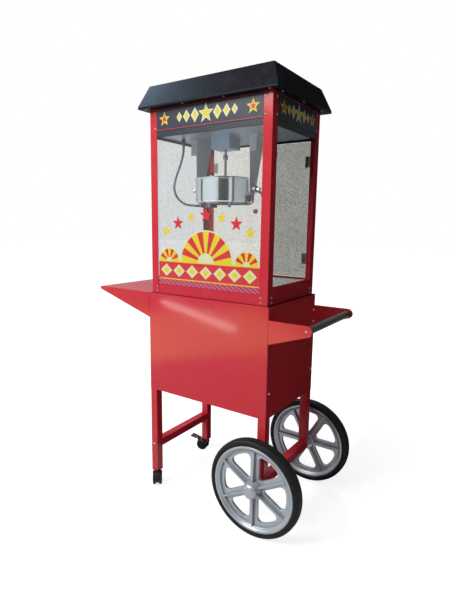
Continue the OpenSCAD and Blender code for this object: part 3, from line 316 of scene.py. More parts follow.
# %% [markdown]
# Cloth flags
# A photographer hangs dark cloths round a shiny object, so that its gloss has something darker than
# white to mirror. A darker world would do that too, but it would show through the panes, so cloths
# that the camera does not see stand round the cart, and two mats lie on the floor.

# %% Cloth flags
WEAVE = 300.0
UPRIGHT = 90
LYING = 0


def cloth(name, shade):
    """Woven cloth of one shade of grey."""
    material, start, place = new_finish(name)
    dark, light = ([shade * share] * 3 for share in (0.5, 1.5))
    tone = place.noise(WEAVE).mix(dark, light)
    close_finish(start, start.node("ShaderNodeBsdfDiffuse", {}, {"Color": tone}))
    return material


def flag(name, place, turn, width, height, finish, tip=UPRIGHT):
    """A cloth that the camera does not see, but the gloss of paint and steel does."""
    let_go()
    angles = (math.radians(tip), 0, math.radians(turn))
    bpy.ops.mesh.primitive_plane_add(size=1.0, location=place, rotation=angles)
    piece = bpy.context.object
    piece.name = name
    piece.scale = (width, height, 1.0)
    piece.visible_camera = False
    piece.visible_shadow = False
    piece.data.materials.append(finish)
    return piece


dark_cloth = cloth("dark_cloth", 0.02)
flag("side_flag", (0.86, 1.25, 1.1), 90, 1.7, 2.2, dark_cloth)
flag("front_flag", (1.45, -2.7, 1.25), 28, 2.3, 2.0, dark_cloth)
flag("rear_flag", (-0.45, 1.9, 1.25), 10, 1.7, 1.1, dark_cloth)
flag("high_flag", (0.4, 1.75, 2.75), 0, 2.0, 1.5, dark_cloth)
flag("back_flag", (-2.05, 1.7, 1.15), 45, 1.8, 0.9, cloth("grey_cloth", 0.6))
# The two mats are painted shade: the floor mirrors white, so they lie where the ground beside and
# under the cart would be in shade, for the gloss of the side, legs and wheels.
flag("side_mat", (0.62, 0.95, 0.01), 0, 0.5, 1.5, dark_cloth, LYING)
under_mat = flag("under_mat", (0.06, 0.46, 0.004), 0, 0.86, 0.80, dark_cloth, LYING)
under_mat.visible_diffuse = False
print("cloth flags ready")

# %% [markdown]
# Red paint
# The cart is powder coated: a thick, glossy red with a faint orange peel, large patches that drift
# from crimson to vermilion, partly a painted warm reflection, and rubbed edges. A flat red would
# look like plastic, so noise of several sizes drives the colour, the gloss and the bump, and an edge
# mask rubs the folds.
# The left end of the body is duller. The roof is the same recipe in black, and the signs in slate:
# near-black film, lightened and blued by a sky sheen painted into its colour.

# %% Paints
DRIFT_AND_SHEEN_SPOTS = 1.6
DUST_SPOTS = 24.0
GRIT_SPOTS = 150.0
PEEL_SPOTS = 430.0
PAINT_DUST = (0.62, 0.56, 0.52)
RED = ((0.58, 0.024, 0.045), (0.60, 0.050, 0.036), (0.74, 0.20, 0.18))
BLACK = ((0.006, 0.0065, 0.008), (0.009, 0.0095, 0.012), (0.06, 0.06, 0.07))
# Slate is near-black lightened and blued by a painted sky sheen.
SKY_SHEEN_SLATE = ((0.034, 0.040, 0.058), (0.042, 0.047, 0.064), (0.10, 0.10, 0.11))
finishes = {}


def paint(name, shades, rough, peel_depth, coat, shine):
    """Coated sheet metal; shades are the colour, the one it drifts to in patches, partly a painted
    sheen, and the one it rubs to.
    """
    colour, drift_and_sheen_colour, rubbed = shades
    material, start, place = new_finish(name)
    # Large random patches drift to the second shade; on the red that vermilion is also a painted
    # warm reflection.
    drift_and_sheen = place.noise(DRIFT_AND_SHEEN_SPOTS, 1.0).spread(0.40, 0.90)
    dust = place.noise(DUST_SPOTS, 6.0).spread(0.50, 0.90)
    worn = edge_mask(start) * place.noise(GRIT_SPOTS, 3.0).spread(0.5, 0.62)
    tone = drift_and_sheen.mix(colour, drift_and_sheen_colour)
    tone = (dust * 0.025).mix(tone, PAINT_DUST)
    tone = (worn * 0.6).mix(tone, rubbed)
    peel = bumped(start, place.noise(PEEL_SPOTS, 1.0), peel_depth, 0.5)
    skin(start, {
        "Base Color": tone, "Roughness": rough + dust * 0.06 + worn * 0.15, "Normal": peel,
        "Coat Weight": coat, "Coat Roughness": 0.12, "Specular IOR Level": shine,
    })
    return material


for slot, *row in (
    ("red_paint", "red_powder_coat", RED, 0.115, 0.00006, 0.02, 0.14),
    ("dull_red", "dull_red_coat", RED, 0.30, 0.00006, 0.0, 0.02),
    ("black_paint", "black_satin_paint", BLACK, 0.32, 0.0001, 0.0, 0.03),
    ("sign_film", "slate_sign_film", SKY_SHEEN_SLATE, 0.30, 0.00004, 0.0, 0.15),
):
    finishes[slot] = paint(*row)
print("paints", [finish.name for finish in finishes.values()])

# %% [markdown]
# Metals
# The pot, the warming floor and the drawer are brushed stainless steel, and the hinges and screws
# are zinc plated. A plain metal shader mirrors too cleanly, so long thin noise makes the brush lines
# and soft noise the stains. Each row below is one metal with its own shades, gloss and brushing.

# %% Metals
STAIN_SPOTS = 14.0
BRIGHT_EDGE = (0.85, 0.85, 0.84)
TURNED = (60.0, 60.0, 1400.0)
ROLLED = (900.0, 30.0, 30.0)
PLATED = (420.0, 420.0, 420.0)


def metal(name, colour, stain, rough, brush, depth):
    """Bare metal with brush lines along the small numbers of brush and soft stains."""
    material, start, place = new_finish(name)
    lines = place.stretched(*brush).noise(1.0, 3.0)
    clouds = place.noise(STAIN_SPOTS, 5.0).spread(0.42, 0.78)
    tone = (clouds * 0.6).mix(colour, stain)
    tone = (edge_mask(start) * 0.4).mix(tone, BRIGHT_EDGE)
    skin(start, {
        "Base Color": tone, "Metallic": 1.0, "Roughness": rough + lines * 0.10 + clouds * 0.06,
        "Normal": bumped(start, lines, depth, 0.35),
    })
    return material


for slot, *row in (
    ("steel", "brushed_steel", (0.33, 0.36, 0.40), (0.27, 0.29, 0.31), 0.09, TURNED, 0.00006),
    # The pot's steel is lighter and bluer than the other steel: a painted sky reflection.
    ("kettle_steel", "kettle_steel", (0.72, 0.79, 0.85), (0.56, 0.60, 0.63), 0.09, TURNED, 0.00006),
    ("tray_steel", "tray_steel", (0.52, 0.54, 0.56), (0.42, 0.43, 0.43), 0.34, ROLLED, 0.00008),
    ("screw", "screw_zinc", (0.24, 0.24, 0.25), (0.16, 0.16, 0.17), 0.34, PLATED, 0.00005),
    ("zinc", "zinc_plate", (0.50, 0.50, 0.51), (0.36, 0.36, 0.37), 0.30, PLATED, 0.00005),
):
    finishes[slot] = metal(*row)
print("metals ready")

# %% [markdown]
# Plastics and rubber
# The wheels are silver moulded plastic, the tyres black rubber with grey dust, the casters and knobs
# black plastic and the handle a dark green-grey sleeve. They differ in colour, gloss and grain size,
# so one recipe with these as values makes them all, and the castings and sheets as well. The
# housing's blue tint, the ceiling's pale blue-grey and the hangers' white are painted light.

# %% Plastics and rubber
GRIME_SPOTS = 30.0


def moulded(name, colour, dusty, rough, grain, depth, dust_share, shine=0.5, metal_share=0.0):
    """Moulded plastic or rubber with grain, uneven gloss and dust."""
    material, start, place = new_finish(name)
    grains = place.noise(grain)
    dust = place.noise(GRIME_SPOTS, 5.0).spread(0.40, 0.75)
    tone = (dust * dust_share).mix(colour, dusty)
    tone = (edge_mask(start) * grains * dust_share).mix(tone, dusty)
    skin(start, {
        "Base Color": tone, "Roughness": rough + dust * dust_share * 0.12 + grains * 0.06,
        "Metallic": metal_share, "Specular IOR Level": shine,
        "Normal": bumped(start, grains, depth, 0.5),
    })
    return material


for slot, *row in (
    ("wheel_plastic", "silver_plastic", (0.36, 0.39, 0.43), (0.39, 0.405, 0.43),
     0.25, 900.0, 0.00001, 0.4, 0.3, 0.4),
    ("tyre", "black_rubber", (0.007, 0.0075, 0.008), (0.035, 0.036, 0.037),
     0.50, 700.0, 0.00015, 0.4, 0.12),
    ("black_plastic", "black_plastic", (0.007, 0.007, 0.008), (0.035, 0.035, 0.035),
     0.34, 1100.0, 0.00008, 0.4, 0.25),
    ("grip", "grip_sleeve", (0.020, 0.026, 0.023), (0.046, 0.054, 0.048),
     0.38, 500.0, 0.00012, 0.5, 0.25),
    ("nylon", "white_nylon", (0.66, 0.65, 0.60), (0.50, 0.49, 0.45), 0.40, 600.0, 0.00006, 0.5),
    ("socket", "glazed_porcelain", (0.78, 0.76, 0.70), (0.60, 0.56, 0.50),
     0.18, 300.0, 0.00004, 0.4),
    ("bulb", "opal_glass", (0.84, 0.82, 0.75), (0.72, 0.68, 0.60), 0.14, 60.0, 0.00002, 0.3, 0.6),
    # The housing is grey paint with a blue tint that is a painted sky reflection.
    ("grey_cast", "grey_cast_housing", (0.40, 0.54, 0.70), (0.44, 0.52, 0.60),
     0.38, 800.0, 0.0002, 0.5, 0.5, 0.5),
    # This sheet lines the ceiling; its pale blue-grey is painted light from the ground below.
    ("satin_sheet", "satin_sheet", (0.46, 0.56, 0.66), (0.43, 0.50, 0.57),
     0.30, 900.0, 0.00002, 0.5, 0.5, 0.4),
    # The hangers are steel; this near-white is a painted reflection of the bright surroundings.
    ("bright_sheet", "bright_sheet", (0.93, 0.96, 1.0), (0.86, 0.90, 0.93),
     0.28, 900.0, 0.00002, 0.5, 0.9),
    ("red_switch", "red_switch", (0.50, 0.02, 0.02), (0.40, 0.05, 0.05), 0.22, 600.0, 0.00003, 0.4),
):
    finishes[slot] = moulded(*row)
print("plastics ready")

# %% [markdown]
# Glass
# The cabinet has flat clear panes and two acrylic doors. A glass shader bends light and darkens all
# behind it, so each face is a mirror mixed over clear film. The mirror's share grows with the slant
# of the view, as on real glass, and faint smears add to it. Salt and oil leave fine specks, so the
# film mixes a clean and a dusty one: least on the front and more on the left. On the right pane both
# films are darker as well, a painted shade for the side that is turned from the light.

# %% Glass
HEAD_ON = 0.04
SLANT_POWER = 5.0
SMEAR_SPOTS = 16.0
SMEAR_STRETCH = (1.0, 1.0, 0.35)
SPECK_SPOTS = 230.0
MIRROR_TINT = (0.80, 0.82, 0.82)


def pane(name, film, dust, smear):
    """A clear pane: mirror over film, with smears that catch a little more light."""
    material, start, place = new_finish(name)
    slant = start.node("ShaderNodeLayerWeight", {}, {"Blend": 0.5}, "Facing")
    fresnel = HEAD_ON + (1 - HEAD_ON) * start.math("POWER", slant, SLANT_POWER)
    smears = place.stretched(*SMEAR_STRETCH).noise(SMEAR_SPOTS, 5.0).spread(0.45, 0.80)
    specks = place.noise(SPECK_SPOTS, 3.0).spread(0.42, 0.66)
    clean = start.node("ShaderNodeBsdfTransparent", {}, {"Color": film})
    dusty = start.node("ShaderNodeBsdfTransparent", {}, {"Color": dust})
    clear = start.node("ShaderNodeMixShader", {}, {0: specks * 0.8 + 0.1, 1: clean, 2: dusty})
    look = {"Base Color": MIRROR_TINT, "Metallic": 1.0, "Roughness": 0.04 + smears * 0.05}
    mirror = start.node("ShaderNodeBsdfPrincipled", {}, look)
    share = (fresnel + smears * smear).spread(0.0, 1.0)
    close_finish(start, start.node("ShaderNodeMixShader", {}, {0: share, 1: clear, 2: mirror}))
    return material


for slot, *row in (
    ("glass", "clear_glass", (0.975, 0.984, 0.982), (0.93, 0.935, 0.925), 0.015),
    ("dusty_glass", "dusty_glass", (0.94, 0.945, 0.95), (0.77, 0.775, 0.785), 0.02),
    # The darker films of this pane are a painted shade for the right side.
    ("hazy_glass", "hazy_glass", (0.79, 0.80, 0.79), (0.55, 0.56, 0.55), 0.03),
    ("acrylic", "clear_acrylic", (0.93, 0.925, 0.91), (0.74, 0.72, 0.69), 0.03),
):
    finishes[slot] = pane(*row)
print("panes ready")

# %% [markdown]
# Kettle lead
# A short armoured lead hangs from the ceiling and runs into the heater under the kettle. A plain
# curve would be smooth, so a tube is drawn along the route with a ring for every root and crest of
# its ribs.

# %% Route of the kettle lead
LEAD_RIBS = 84
RIB_STEPS = 4
lead_route = [
    at(-190, -60, 1354), at(-190, -60, 1343), at(-190, -60, 1332), at(-190, -60, 1321),
    at(-193, -61, 1296), at(-204, -66, 1256), at(-218, -72, 1216), at(-226, -73, 1178),
    at(-222, -60, 1143), at(-208, -34, 1121), at(-188, -10, 1115), at(-172, 0, 1114),
    at(-162, 0, 1114), at(-152, 0, 1114), at(-142, 0, 1114),
]


def along_route(share):
    """The point at this share of the route, on the smooth line through its points."""
    spans = len(lead_route) - 3
    index = min(spans - 1, int(share * spans))
    t = share * spans - index
    a, b, c, d = lead_route[index:index + 4]
    square = 2 * a - 5 * b + 4 * c - d
    cube = 3 * b - a - 3 * c + d
    return (2 * b + (c - a) * t + square * t * t + cube * t ** 3) / 2


ring_count = LEAD_RIBS * RIB_STEPS + 1
lead_points = [along_route(k / (ring_count - 1)) for k in range(ring_count)]
lead_length = sum((b - a).length for a, b in zip(lead_points, lead_points[1:]))
print("kettle lead", round(lead_length, 3), "m")

# %% Tube of the kettle lead
LEAD_RADIUS = 0.005
LEAD_SIDES = 14
ROOT_SHARE = 0.8
LEAD_SMOOTH = math.radians(60)
tube_points = []
tube_faces = []
for k, middle in enumerate(lead_points):
    before = lead_points[max(0, k - 1)]
    after = lead_points[min(ring_count - 1, k + 1)]
    way = (after - before).normalized()
    side = way.cross(Vector((0, 1, 0))).normalized()
    other = way.cross(side)
    wave = 0.5 - 0.5 * math.cos(2 * math.pi * k / RIB_STEPS)
    radius = LEAD_RADIUS * (ROOT_SHARE + (1 - ROOT_SHARE) * wave)
    for i in range(LEAD_SIDES):
        q = 2 * math.pi * i / LEAD_SIDES
        tube_points.append(middle + radius * (side * math.cos(q) + other * math.sin(q)))
for k in range(ring_count - 1):
    for i in range(LEAD_SIDES):
        a = k * LEAD_SIDES + i
        b = k * LEAD_SIDES + (i + 1) % LEAD_SIDES
        tube_faces.append((a, b, b + LEAD_SIDES, a + LEAD_SIDES))
tube_faces.append(tuple(reversed(range(LEAD_SIDES))))
tube_faces.append(tuple(range((ring_count - 1) * LEAD_SIDES, ring_count * LEAD_SIDES)))
tube = bpy.data.meshes.new("armoured_lead")
tube.from_pydata(tube_points, [], tube_faces)
lead = bpy.data.objects.new("armoured_lead", tube)
scene.collection.objects.link(lead)
lead.data.materials.append(finishes["screw"])
let_go()
bpy.context.view_layer.objects.active = lead
lead.select_set(True)
bpy.ops.object.mode_set(mode="EDIT")
bpy.ops.mesh.select_all(action="SELECT")
bpy.ops.mesh.normals_make_consistent(inside=False)
bpy.ops.object.mode_set(mode="OBJECT")
bpy.ops.object.shade_smooth_by_angle(angle=LEAD_SMOOTH)
at(-204, -66, 1256)
at(-172, 0, 1114)
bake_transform(lead)
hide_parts("kettle_lead")
print("lead tube", len(tube_faces), "faces")

# %% [markdown]
# Picking and copying
# By hand, a modeller picks faces, works on them, leaves edit mode and copies what repeats. These
# helpers do the same in code. A CAD node is loose triangles, so a copy of it is merged and its flat
# triangles are joined to whole faces before anything else is done to it.

# %% Picking and copying
MERGE = 0.00001
FLAT = math.radians(0.4)


def hold(piece):
    """Makes this piece the only selected and active one."""
    let_go()
    piece.select_set(True)
    bpy.context.view_layer.objects.active = piece


def pick(piece, kind, test):
    """Opens the piece with the faces, edges or points that pass the test selected."""
    hold(piece)
    bpy.ops.object.mode_set(mode="EDIT")
    bpy.ops.mesh.select_mode(type=kind)
    bpy.ops.mesh.select_all(action="DESELECT")
    bpy.ops.object.mode_set(mode="OBJECT")
    mesh = piece.data
    for part in {"FACE": mesh.polygons, "EDGE": mesh.edges, "VERT": mesh.vertices}[kind]:
        part.select = bool(test(part))
    bpy.ops.object.mode_set(mode="EDIT")


def pick_all(piece):
    """Opens the piece with all its points selected."""
    pick(piece, "VERT", lambda point: True)


def done(piece):
    """Leaves edit mode."""
    bpy.ops.object.mode_set(mode="OBJECT")
    return piece


def copy_node(node):
    """A merged copy of a CAD node's mesh, with its flat triangles joined to whole faces."""
    mesh = frame["nodes"][node].data.copy()
    piece = bpy.data.objects.new("dressed_" + node, mesh)
    scene.collection.objects.link(piece)
    mesh.materials.clear()
    pick_all(piece)
    bpy.ops.mesh.remove_doubles(threshold=MERGE)
    bpy.ops.mesh.dissolve_limited(angle_limit=FLAT)
    return done(piece)


def bake_place():
    """Puts the place, turn and size of the selected piece into its mesh."""
    bpy.ops.object.transform_apply(location=True, rotation=True, scale=True)


def copies(piece, places):
    """Copies of a piece, each with its own mesh, at the places that these matrices give."""
    made = []
    for place in places:
        copy = bpy.data.objects.new(piece.name, piece.data.copy())
        scene.collection.objects.link(copy)
        copy.matrix_world = place
        made.append(copy)
    bpy.data.objects.remove(piece)
    return made


def join(pieces, name):
    """Makes one piece of several, with its place in its mesh."""
    let_go()
    for piece in pieces:
        piece.select_set(True)
    bpy.context.view_layer.objects.active = pieces[0]
    if len(pieces) > 1:
        bpy.ops.object.join()
    whole = bpy.context.object
    whole.name = name
    bake_place()
    return whole


print("picking and copying ready")

# %% [markdown]
# Rounded sheet metal
# Real sheet metal has bends and deburred edges that catch the light. The CAD solids have sharp
# edges, and each could be filleted there, but a bevel on the copy is quicker and marks its own
# faces. That mark becomes the edge mask that the finishes rub.

# %% Rounding and settling
SMOOTH_ANGLE = math.radians(35)
SHARP_ANGLE = math.radians(32)
FOLD_STEPS = 4
FOLD_MIN = 4 * MM
PLUMB = 0.1 * MM


def smooth(piece):
    """Smooth shading that keeps flat faces flat."""
    hold(piece)
    bpy.ops.object.shade_smooth_by_angle(angle=SMOOTH_ANGLE)
    weighted = piece.modifiers.new("flat_faces", "WEIGHTED_NORMAL")
    weighted.keep_sharp = True
    bpy.ops.object.modifier_apply(modifier=weighted.name)


def soften(piece, finish, width, steps=2):
    """Rounds the sharp edges and marks the new faces in the edge mask."""
    mesh = piece.data
    mesh.materials.clear()
    mesh.materials.append(finish)
    mesh.materials.append(finish)
    if width > 0:
        hold(piece)
        bevel = piece.modifiers.new("soft_edges", "BEVEL")
        bevel.width = width
        bevel.segments = steps
        bevel.limit_method = "ANGLE"
        bevel.angle_limit = SHARP_ANGLE
        bevel.material = 1
        bpy.ops.object.modifier_apply(modifier=bevel.name)
    mask = mesh.attributes.new("edge", "FLOAT", "FACE")
    for face in mesh.polygons:
        mask.data[face.index].value = float(face.material_index)
        face.material_index = 0
    mesh.materials.pop(index=1)
    smooth(piece)


def settle(piece, body, slot, *nodes):
    """Lets the piece ride on its body and hides the nodes it stands for; the slot is not used."""
    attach(piece, body)
    if nodes:
        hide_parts(*nodes)
    return piece


def second_finish(piece, finish, test):
    """Gives the faces that pass the test another finish."""
    piece.data.materials.append(finish)
    index = len(piece.data.materials) - 1
    for face in piece.data.polygons:
        if test(face):
            face.material_index = index


def round_folds(piece, radius, test):
    """Rounds the upright edges that pass the test, as a folded sheet is."""
    points = piece.data.vertices

    def upright(edge):
        a, b = (points[i].co for i in edge.vertices)
        plumb = abs(a.z - b.z) > FOLD_MIN and (a.xy - b.xy).length < PLUMB
        return plumb and test((a + b) / 2)

    pick(piece, "EDGE", upright)
    bpy.ops.mesh.bevel(offset=radius, segments=FOLD_STEPS, affect="EDGES")
    done(piece)


print("rounding and settling ready")

# %% [markdown]
# Cart body
# The body is a folded red sheet on four square tubes. Its outer corners are bends and not cuts, so
# those upright edges get a larger radius first, and every other edge then gets a fine one. The warm
# lamp on the ground is linked to these sheets, because panes and steel would mirror it as a patch.

# %% Cart body, legs and shelf
FOLD = 2.4 * MM
FINE = 0.45 * MM
ON_CORNER = 0.2 * MM
FACING = 0.9


def dress(node, width, steps=2, finish=None, folds=None, fold=FOLD):
    """Copies a node, rounds its folds and edges, and lets it stand for the node."""
    slot = slot_of[node]
    piece = copy_node(node)
    if folds:
        round_folds(piece, fold, folds)
    soften(piece, finish or finishes[slot], width, steps)
    return settle(piece, body_of[node], slot, node)


def outer_corner(node):
    """A test for the four outer corners of a node's box."""
    low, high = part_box(node)

    def test(point):
        on_x = min(abs(point.x - low.x), abs(point.x - high.x)) < ON_CORNER
        on_y = min(abs(point.y - low.y), abs(point.y - high.y)) < ON_CORNER
        return on_x and on_y

    return test


shell = dress("cart_shell", FINE, folds=outer_corner("cart_shell"))
second_finish(shell, finishes["dull_red"], lambda face: face.normal.x < -FACING)
dress("cart_deck", FINE)
dress("storage_floor", FINE)
dress("storage_door", 0.5 * MM, folds=outer_corner("storage_door"), fold=1.1 * MM)
for tube_node in ("left_legs", "leg_crossbar", "axle_frame"):
    dress(tube_node, 1.3 * MM, 3)
shelf = dress("side_shelf", FINE)
brackets = dress("handle_brackets", 0.8 * MM, 3)
warm_sheets = bpy.data.collections.new("warm_sheets")
for sheet in (shell, shelf, brackets):
    warm_sheets.objects.link(sheet)
ground.light_linking.receiver_collection = warm_sheets
print("cart body dressed", len(shell.data.polygons), "faces on the shell")

# %% [markdown]
# Cabinet
# The cabinet's corner posts are folded angles, the base is a pan with sills and the header is a
# black box with a painted sky sheen. They are dressed in the same way, with a bend radius on the
# posts' outer corners. The ceiling in the header is pale blue-grey sheet, a colour that paints in
# the light from the ground below, and the right pane is greyer than the left one, a painted shade.

# %% Cabinet sheet metal and panes
RAIL = 5 * MM
dress("cabinet_base", FINE)
dress("corner_posts", FINE, folds=outer_corner("corner_posts"), fold=2.0 * MM)
# The header takes the slate film too: black with a painted sky sheen.
housing = dress("top_housing", 0.4 * MM, 2, finishes["sign_film"])
rail_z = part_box("top_housing")[0].z + RAIL


def on_ceiling(face):
    """The faces of the header that look down into the cabinet."""
    return face.normal.z < -FACING and face.center.z > rail_z


# The ceiling's pale blue-grey is painted light from the ground below.
second_finish(housing, finishes["satin_sheet"], on_ceiling)
dress("sign_panels", 0.5 * MM, 2, finishes["sign_film"])
dress("control_panel", 0.4 * MM)
dress("roof", 1.0 * MM, 3)
dress("warming_floor", 0.3 * MM, 2, finishes["tray_steel"])
dress("crumb_drawer", 0.4 * MM, 2, finishes["tray_steel"])
dress("power_inlet", 0.6 * MM)
for pane_node in ("glass_front", "rear_door_left", "rear_door_right"):
    dress(pane_node, 0.4 * MM, 1)
side_panes = dress("side_glasses", 0.4 * MM, 1, finishes["dusty_glass"])
# The right pane gets the darker film: a painted shade on the shaded side.
second_finish(side_panes, finishes["hazy_glass"], lambda face: face.center.x > MIDDLE * MM)
print("cabinet dressed", len(housing.data.polygons), "faces on the header")

# %% [markdown]
# Casters, axle and handle
# The casters are black mouldings with twin wheels, and the axle, its collars and the bolts are
# turned metal. Their shapes are simple, so each is the CAD solid with its edges rounded to suit.

# %% Casters, axle and handle
for end in ("front", "rear"):
    dress("bushes_" + end, 0.4 * MM)
    dress("caster_fork_" + end, 0.8 * MM)
    dress("caster_wheels_" + end, 1.2 * MM, 3)
    dress("caster_brake_" + end, 0.8 * MM)
dress("caster_sockets", 0.8 * MM)
dress("axle", 1.0 * MM)
dress("axle_collars", 0.8 * MM)
dress("handle_bar", 1.6 * MM, 3)
dress("cart_bolts", 0.8 * MM, 3, finishes["screw"])
print("casters, axle and handle dressed")

# %% [markdown]
# Tyres
# A tyre is a ring with rounded shoulders, a groove round its middle and short cross grooves. The
# section is drawn by extruding one point along it and is spun round the axle. Every other strip of
# the tread is then pushed in, which gives the grooves as a mould would, and the tyre is copied.

# %% Tyres
WHEEL_X = 243.8
WHEEL_Z = 171.0
WHEEL_Y = 216.1
AXLE_WAY = (0, 1, 0)
WELD = 0.02 * MM
TYRE_STEPS = 216
GROOVE = 1.2 * MM
TREAD_R = 168.6 * MM
TREAD_Y = 5.3 * MM
half_section = [
    (151.1, 19.6), (153.0, 20.9), (155.8, 21.7), (159.0, 21.9), (162.4, 21.4), (165.3, 20.0),
    (167.6, 17.9), (169.2, 15.2), (170.2, 12.0), (170.7, 8.6), (171.0, 5.2), (171.0, 2.8),
    (169.6, 2.0),
]
section = [(r, -y) for r, y in half_section] + [(r, y) for r, y in reversed(half_section)]


def draw_line(name, points):
    """A line of points, made from one point that is extruded from place to place."""
    let_go()
    bpy.ops.mesh.primitive_plane_add(size=0.01, location=points[0])
    piece = bpy.context.object
    piece.name = name
    bake_place()
    bpy.ops.object.mode_set(mode="EDIT")
    bpy.ops.mesh.select_mode(type="VERT")
    bpy.ops.mesh.select_all(action="SELECT")
    bpy.ops.mesh.merge(type="CENTER")
    for a, b in zip(points, points[1:]):
        step = Vector(b) - Vector(a)
        bpy.ops.mesh.extrude_region_move(TRANSFORM_OT_translate={"value": step})
    return done(piece)


def turned(name, points, centre, axis, steps):
    """A turned piece: the line of points spun all the way round an axis."""
    piece = draw_line(name, points)
    pick_all(piece)
    bpy.ops.mesh.spin(steps=steps, angle=2 * math.pi, center=centre, axis=axis)
    bpy.ops.mesh.select_all(action="SELECT")
    bpy.ops.mesh.remove_doubles(threshold=WELD)
    bpy.ops.mesh.normals_make_consistent(inside=False)
    return done(piece)


def tread_strip(face):
    """Every other strip of the tread, on both sides of the middle groove."""
    out = face.center
    strip = int(math.atan2(out.z, out.x) / (2 * math.pi) * TYRE_STEPS + TYRE_STEPS) % 2
    return strip == 0 and math.hypot(out.x, out.z) > TREAD_R and abs(out.y) > TREAD_Y


tyre_ring = [Vector((0, y * MM, r * MM)) for r, y in section + section[:1]]
tyre = turned("tyre", tyre_ring, (0, 0, 0), AXLE_WAY, TYRE_STEPS)
pick(tyre, "FACE", tread_strip)
bpy.ops.mesh.extrude_region_shrink_fatten(TRANSFORM_OT_shrink_fatten={"value": -GROOVE})
done(tyre)
soften(tyre, finishes["tyre"], 0.0)
wheel_centre = {"front": at(WHEEL_X, -WHEEL_Y, WHEEL_Z), "rear": at(WHEEL_X, WHEEL_Y, WHEEL_Z)}
tyres = copies(tyre, [Matrix.Translation(centre) for centre in wheel_centre.values()])
for end, tyre in zip(wheel_centre, tyres):
    join([tyre], "rubber_tyre_" + end)
    settle(tyre, "wheel_" + end, "tyre", "tyre_" + end)
    print(tyre.name, len(tyre.data.polygons), "faces")

# %% [markdown]
# Wheels
# Each large wheel is one moulding: a rounded rim, a web with six windows, a thin fin along each
# spoke and a hub under a domed cap. Bevelled copies of the CAD would keep its square rim, so the
# rim, hub and cap are turned from rounded sections, and the windows are cut from a disc by a
# boolean. A fin is a block that gets lower towards the rim. One window and one fin are modelled for
# a wheel and copied round it.

# %% Wheel sections
SPOKES = 6
SPOKE_STEP = 360.0 / SPOKES
HALF_STEP = SPOKE_STEP / 2
SPOKE_HALF = 15.5
WINDOW_R = 121.0
CORNER_R = 15.0
CROTCH_R = 8.0
half_rim = [
    (150.9, 17.6), (150.4, 19.2), (148.8, 20.3), (146.2, 20.7), (143.5, 20.1), (141.3, 18.6),
    (139.6, 16.6), (137.8, 15.2), (135.6, 14.4), (133.8, 13.0), (132.8, 10.8), (132.4, 7.0),
]
rim_section = half_rim + [(r, -y) for r, y in reversed(half_rim)]
hub_section = [
    (11.3, -21.8), (28.8, -21.8), (30.0, -20.6), (30.0, 11.0),
    (29.2, 13.2), (25.4, 26.4), (24.2, 27.8), (11.3, 27.8),
]
cap_section = [
    (25.6, 26.6), (26.0, 30.6), (25.2, 34.0), (22.8, 37.4), (19.0, 40.0), (17.4, 40.6), (0.0, 40.9),
]


def arc(middle, radius, first, last, steps):
    """Points on an arc of a circle in the wheel's plane, with angles in degrees."""
    turns = [math.radians(first + (last - first) * i / steps) for i in range(steps + 1)]
    return [(middle[0] + radius * math.cos(t), middle[1] + radius * math.sin(t)) for t in turns]


def window_outline():
    """Outline of one window with rounded corners, midway between two spokes."""
    inner = (SPOKE_HALF + CROTCH_R) / math.sin(math.radians(HALF_STEP))
    reach = WINDOW_R - CORNER_R
    slant = HALF_STEP - math.degrees(math.asin((SPOKE_HALF + CORNER_R) / reach))
    low = (reach * math.cos(math.radians(-slant)), reach * math.sin(math.radians(-slant)))
    outline = arc((inner, 0), CROTCH_R, 90 + HALF_STEP, 270 - HALF_STEP, 6)
    outline += arc(low, CORNER_R, -90 - HALF_STEP, -slant, 6)
    outline += arc((0, 0), WINDOW_R, -slant, slant, 10)[1:-1]
    outline += arc((low[0], -low[1]), CORNER_R, slant, 90 + HALF_STEP, 6)
    return outline


def round_wheel(piece, centre, first):
    """Copies of a piece at every spoke step round a wheel, from the first angle on."""
    turns = [math.radians(first + k * SPOKE_STEP) for k in range(SPOKES)]
    return copies(piece, [Matrix.Translation(centre) @ Matrix.Rotation(-t, 4, "Y") for t in turns])


print("wheel sections", len(rim_section), len(hub_section), len(cap_section))

# %% Wheels
WEB_R = 133.6 * MM
WEB_DEPTH = 12 * MM
WEB_STEPS = 144
CUT_DEPTH = 40 * MM
FIN_SIZE = (110 * MM, 40 * MM, 6 * MM)
FIN_MIDDLE = 81 * MM
FIN_TAPER = 0.76
RIM_STEPS = 160
HUB_STEPS = 48
CAP_STEPS = 40


def make_web(centre, first):
    """The disc between rim and hub with its windows cut out."""
    ring = [Vector((x * MM, -CUT_DEPTH / 2, z * MM)) for x, z in window_outline()]
    cutter = draw_line("window", ring + ring[:1])
    pick_all(cutter)
    bpy.ops.mesh.remove_doubles(threshold=0.05 * MM)
    bpy.ops.mesh.edge_face_add()
    bpy.ops.mesh.extrude_region_move(TRANSFORM_OT_translate={"value": (0, CUT_DEPTH, 0)})
    bpy.ops.mesh.select_all(action="SELECT")
    bpy.ops.mesh.normals_make_consistent(inside=False)
    done(cutter)
    windows = join(round_wheel(cutter, centre, first + HALF_STEP), "windows")
    let_go()
    bpy.ops.mesh.primitive_cylinder_add(
        vertices=WEB_STEPS, radius=WEB_R, depth=WEB_DEPTH, location=centre,
        rotation=(math.pi / 2, 0, 0),
    )
    web = bpy.context.object
    bake_place()
    cut = web.modifiers.new("cut_windows", "BOOLEAN")
    cut.operation = "DIFFERENCE"
    cut.object = windows
    bpy.ops.object.modifier_apply(modifier=cut.name)
    bpy.data.objects.remove(windows)
    soften(web, finishes["wheel_plastic"], 2.0 * MM, 3)
    return web


